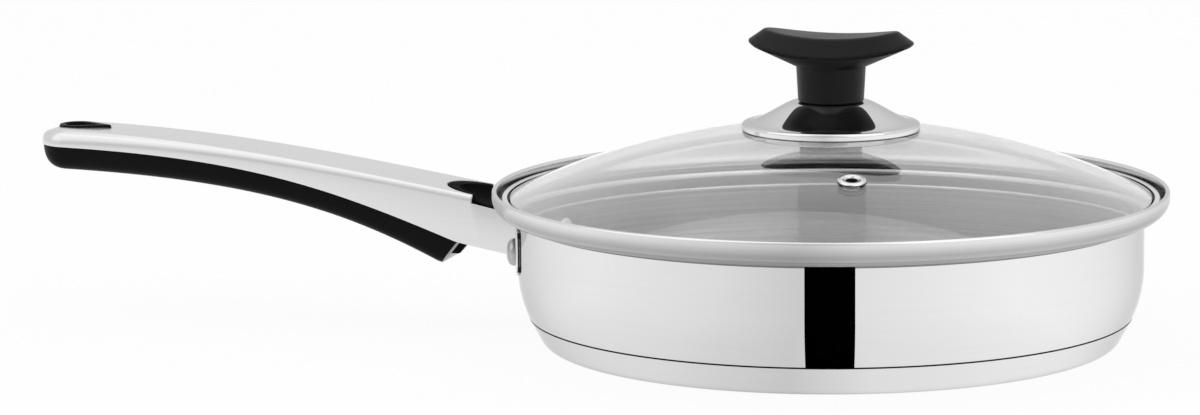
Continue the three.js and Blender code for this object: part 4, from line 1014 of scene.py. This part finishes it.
# Nodes that stay as they are, with finishes of their own
for name, finish in (("base_core", aluminium), ("grip_boss", satin), ("grip_screw", satin),
                     ("plate_gasket", rubber), ("knob_seal", rubber), ("knob_washer", bright),
                     ("knob_screw", bright), ("knob_insert", brass)):
    mesh = nodes[name].data
    mesh.materials.clear()
    mesh.materials.append(finish)

# Floor, backdrop and light; the floor's half width is in metres
FLOOR_HALF, FLOOR_GLOW = 8.0, 0.92
PAPER_SCALE, PAPER_GREYS, PAPER_ROUGH = 60.0, (0.93, 0.95), 0.9
FELT_SCALE, FELT_GREYS, FELT_ROUGH = 300.0, (0.0005, 0.001), 1.0
FLAG_ANGLE, DEGREE = math.radians(-77.2), math.radians(1)
TENT_SHADES = ((-80, 0.935), (-35, 0.82), (-8, 0.655), (8, 0.85), (58, 1.0), (130, 0.935))
TENT_PEAK = 1.07


def tent_shade(tree, place):
    """Brightness of the mirrored tent by its bearing from the pan: darkest beside the black flag."""
    spot = tree.nodes.new("ShaderNodeTexCoord").outputs[place]
    split = node(tree, "ShaderNodeSeparateXYZ", Vector=spot)
    bearing = math_node(tree, "ARCTAN2", split.outputs["Y"], split.outputs["X"])
    shade = shade_by(tree, math_node(tree, "SUBTRACT", bearing, FLAG_ANGLE), TENT_SHADES, DEGREE)
    mirrored = tree.nodes.new("ShaderNodeLightPath").outputs["Is Glossy Ray"]
    change = math_node(tree, "SUBTRACT", math_node(tree, "MULTIPLY", shade, TENT_PEAK), 1.0)
    return math_node(tree, "ADD", 1.0, math_node(tree, "MULTIPLY", mirrored, change))


def seen_rays(tree):
    """One for rays that show the background: from the camera, off metal and through glass."""
    path = tree.nodes.new("ShaderNodeLightPath")
    through = math_node(tree, "MAXIMUM", path.outputs["Is Glossy Ray"], path.outputs["Is Transmission Ray"])
    return math_node(tree, "MAXIMUM", path.outputs["Is Camera Ray"], through)


def mottle(tree, shader, scale, greys, rough):
    """Slightly uneven grey of paper or felt."""
    fine = node(tree, "ShaderNodeTexNoise", Scale=scale, Detail=3.0).outputs["Fac"]
    dark, light = ((grey,) * 3 for grey in greys)
    tree.links.new(tint(tree, fine, dark, light), shader.inputs["Base Color"])
    shader.inputs["Roughness"].default_value = rough


def mix_shaders(tree, share, first, second):
    """Surface that goes from the first shader to the second as the share rises."""
    mix = tree.nodes.new("ShaderNodeMixShader")
    for socket, source in zip(mix.inputs, (share, first.outputs[0], second.outputs[0])):
        tree.links.new(source, socket)
    tree.links.new(mix.outputs[0], tree.nodes["Material Output"].inputs["Surface"])


def studio_floor():
    made, tree, shader = material("studio_white")
    mottle(tree, shader, PAPER_SCALE, PAPER_GREYS, PAPER_ROUGH)
    glow = node(tree, "ShaderNodeEmission", Strength=tent_shade(tree, "Object"))
    mix_shaders(tree, math_node(tree, "MULTIPLY", seen_rays(tree), FLOOR_GLOW), shader, glow)
    ground = bpy.data.meshes.new("studio_floor")
    corners = [(x * FLOOR_HALF, y * FLOOR_HALF, 0) for x, y in ((-1, -1), (1, -1), (1, 1), (-1, 1))]
    ground.from_pydata(corners, [], [(0, 1, 2, 3)])
    ground.materials.append(made)
    stand = new_object("studio_floor", ground)


# Black flags, which show only as the dark bars that the wall and the brushed inside mirror, and as
# the dark edge of the far glass
FLAG_GAP, WALL_FLAG_GAP = 1.5, 0.4
WALL_FLAG_TURN, WALL_FLAG_TOP, WALL_FLAG_FOOT = math.radians(4.4), 49.6, 10.9
INSIDE_FLAG_TURN, INSIDE_FLAG_LOW, INSIDE_FLAG_TOP = math.radians(6.6), 9.0, 43.0
INSIDE_FLAG_END_R = 20.0
EDGE_FLAG_LOW, EDGE_FLAG_TOP = 50.0, 54.5
BAR_STEPS, RING_STEPS, ONE_REFLECTION = 8, 128, 1.5


def inner_side_once(tree, shader):
    """Leaves a flag black on its inner side and in a first reflection, and clear in all others."""
    depth = tree.nodes.new("ShaderNodeLightPath").outputs["Glossy Depth"]
    later = math_node(tree, "GREATER_THAN", depth, ONE_REFLECTION)
    inner = tree.nodes.new("ShaderNodeNewGeometry").outputs["Backfacing"]
    unseen = math_node(tree, "MAXIMUM", later, math_node(tree, "SUBTRACT", 1.0, inner))
    mix_shaders(tree, unseen, shader, tree.nodes.new("ShaderNodeBsdfTransparent"))


def black_flag(name, line, middle, half_turn, count, seen_by, once=False):
    """Black sheet round the pan's axis that only one kind of ray can see."""
    made, tree, shader = material(name)
    if once:
        inner_side_once(tree, shader)
    mottle(tree, shader, FELT_SCALE, FELT_GREYS, FELT_ROUGH)
    shader.inputs["Specular IOR Level"].default_value = 0.0
    verts, faces = [], []
    for r, z in line:
        for i in range(count + 1):
            angle = middle + half_turn * (2 * i / count - 1)
            verts.append((r * math.cos(angle), r * math.sin(angle), z))
    for k in range(len(line) - 1):
        for i in range(count):
            a = k * (count + 1) + i
            faces.append((a, a + 1, a + count + 2, a + count + 1))
    flag = new_object(name, mesh_from(name, verts, faces))
    flag.data.materials.append(made)
    for ray in ("camera", "diffuse", "glossy", "transmission", "shadow", "volume_scatter"):
        setattr(flag, "visible_" + ray, ray == seen_by)


def flags():
    side = [(r + WALL_FLAG_GAP, z) for r, z in wall_curve(12)]
    slope = (side[1][0] - side[0][0]) / (side[1][1] - side[0][1])
    foot = (side[0][0] - slope * (side[0][1] - WALL_FLAG_FOOT), WALL_FLAG_FOOT)
    line = [foot] + side + [(WALL_R + WALL_FLAG_GAP, WALL_FLAG_TOP)]
    black_flag("flag_wall", line, FLAG_ANGLE, WALL_FLAG_TURN, BAR_STEPS, "glossy", once=True)
    inside = PAN_INNER_R - FLAG_GAP
    line = [(inside - SEAM_INSET, INSIDE_FLAG_LOW), (inside, WALL_START), (inside, INSIDE_FLAG_TOP),
            (INSIDE_FLAG_END_R, dome_z(INSIDE_FLAG_END_R) - GLASS_T - 2 * FLAG_GAP)]
    black_flag("flag_inside", line, FLAG_ANGLE + math.pi, INSIDE_FLAG_TURN, BAR_STEPS, "glossy")
    line = [(LIP_R + FLAG_GAP, z) for z in (EDGE_FLAG_LOW, EDGE_FLAG_TOP)]
    black_flag("flag_edge", line, 0, math.pi, RING_STEPS, "transmission")


SKY_LIGHT, SKY_MIRRORED = 0.75, 0.8


def studio_sky():
    """White sky that lights the part less than it shows, and is mirrored a little dimmer."""
    world = bpy.data.worlds.new("studio")
    bpy.context.scene.world = world
    world.use_nodes = True
    sky = world.node_tree
    back = sky.nodes["Background"]
    back.inputs["Color"].default_value = (1, 1, 1, 1)
    mirrored = sky.nodes.new("ShaderNodeLightPath").outputs["Is Glossy Ray"]
    plain = ramp(sky, seen_rays(sky), 0, 1, SKY_LIGHT, 1.0)
    dimmed = math_node(sky, "MULTIPLY", plain, ramp(sky, mirrored, 0, 1, 1.0, SKY_MIRRORED))
    sky.links.new(math_node(sky, "MULTIPLY", dimmed, tent_shade(sky, "Generated")), back.inputs["Strength"])


# Lamps and camera, in metres
SOFTBOX_SIZE, SOFTBOX_POWER, PAN_MIDDLE, HANDLE_ROOT = 2.0, 5, (0, 0, 0.05), (-0.1, 0, 0.05)


def set_up(obj, place, aim):
    """Puts a lamp or the camera in its place, turned towards its aim."""
    obj.location = place
    obj.rotation_euler = (Vector(aim) - Vector(place)).to_track_quat("-Z", "Y").to_euler()


def softbox(name, place, aim):
    lamp = bpy.data.lights.new(name, "AREA")
    lamp.shape = "RECTANGLE"
    lamp.size = lamp.size_y = SOFTBOX_SIZE
    lamp.energy = SOFTBOX_POWER
    set_up(new_object(name, lamp), place, aim)


# Camera at the photograph's angle; focal length, frame and the pan's axis in pixels of the photograph
AZIMUTH, ELEVATION, DISTANCE = math.radians(13), math.radians(9.9), 1.9
FOCAL_PX, FRAME_W, AXIS_X, SENSOR_WIDTH = 4915, 1200, 831, 36
ORBIT_Z, AIM_Z = 0.0275, 0.0519


def photo_camera():
    camera = bpy.data.cameras.new("camera")
    camera.sensor_fit = "HORIZONTAL"
    camera.sensor_width = SENSOR_WIDTH
    camera.lens = FOCAL_PX * SENSOR_WIDTH / FRAME_W
    camera.shift_x = (FRAME_W / 2 - AXIS_X) / FRAME_W
    eye = new_object("camera", camera)
    level = math.cos(ELEVATION)
    away = Vector((math.sin(AZIMUTH) * level, -math.cos(AZIMUTH) * level, math.sin(ELEVATION)))
    set_up(eye, Vector((0, 0, ORBIT_Z)) + away * DISTANCE, (0, 0, AIM_Z))
    bpy.context.scene.camera = eye


studio_floor()
flags()
studio_sky()
softbox("soft_left", (-1.4, -0.9, 1.5), HANDLE_ROOT)
softbox("soft_right", (1.5, -0.8, 1.4), PAN_MIDDLE)
softbox("soft_top", (0, 0.3, 1.9), PAN_MIDDLE)
photo_camera()

bpy.context.scene.view_settings.view_transform = "Standard"
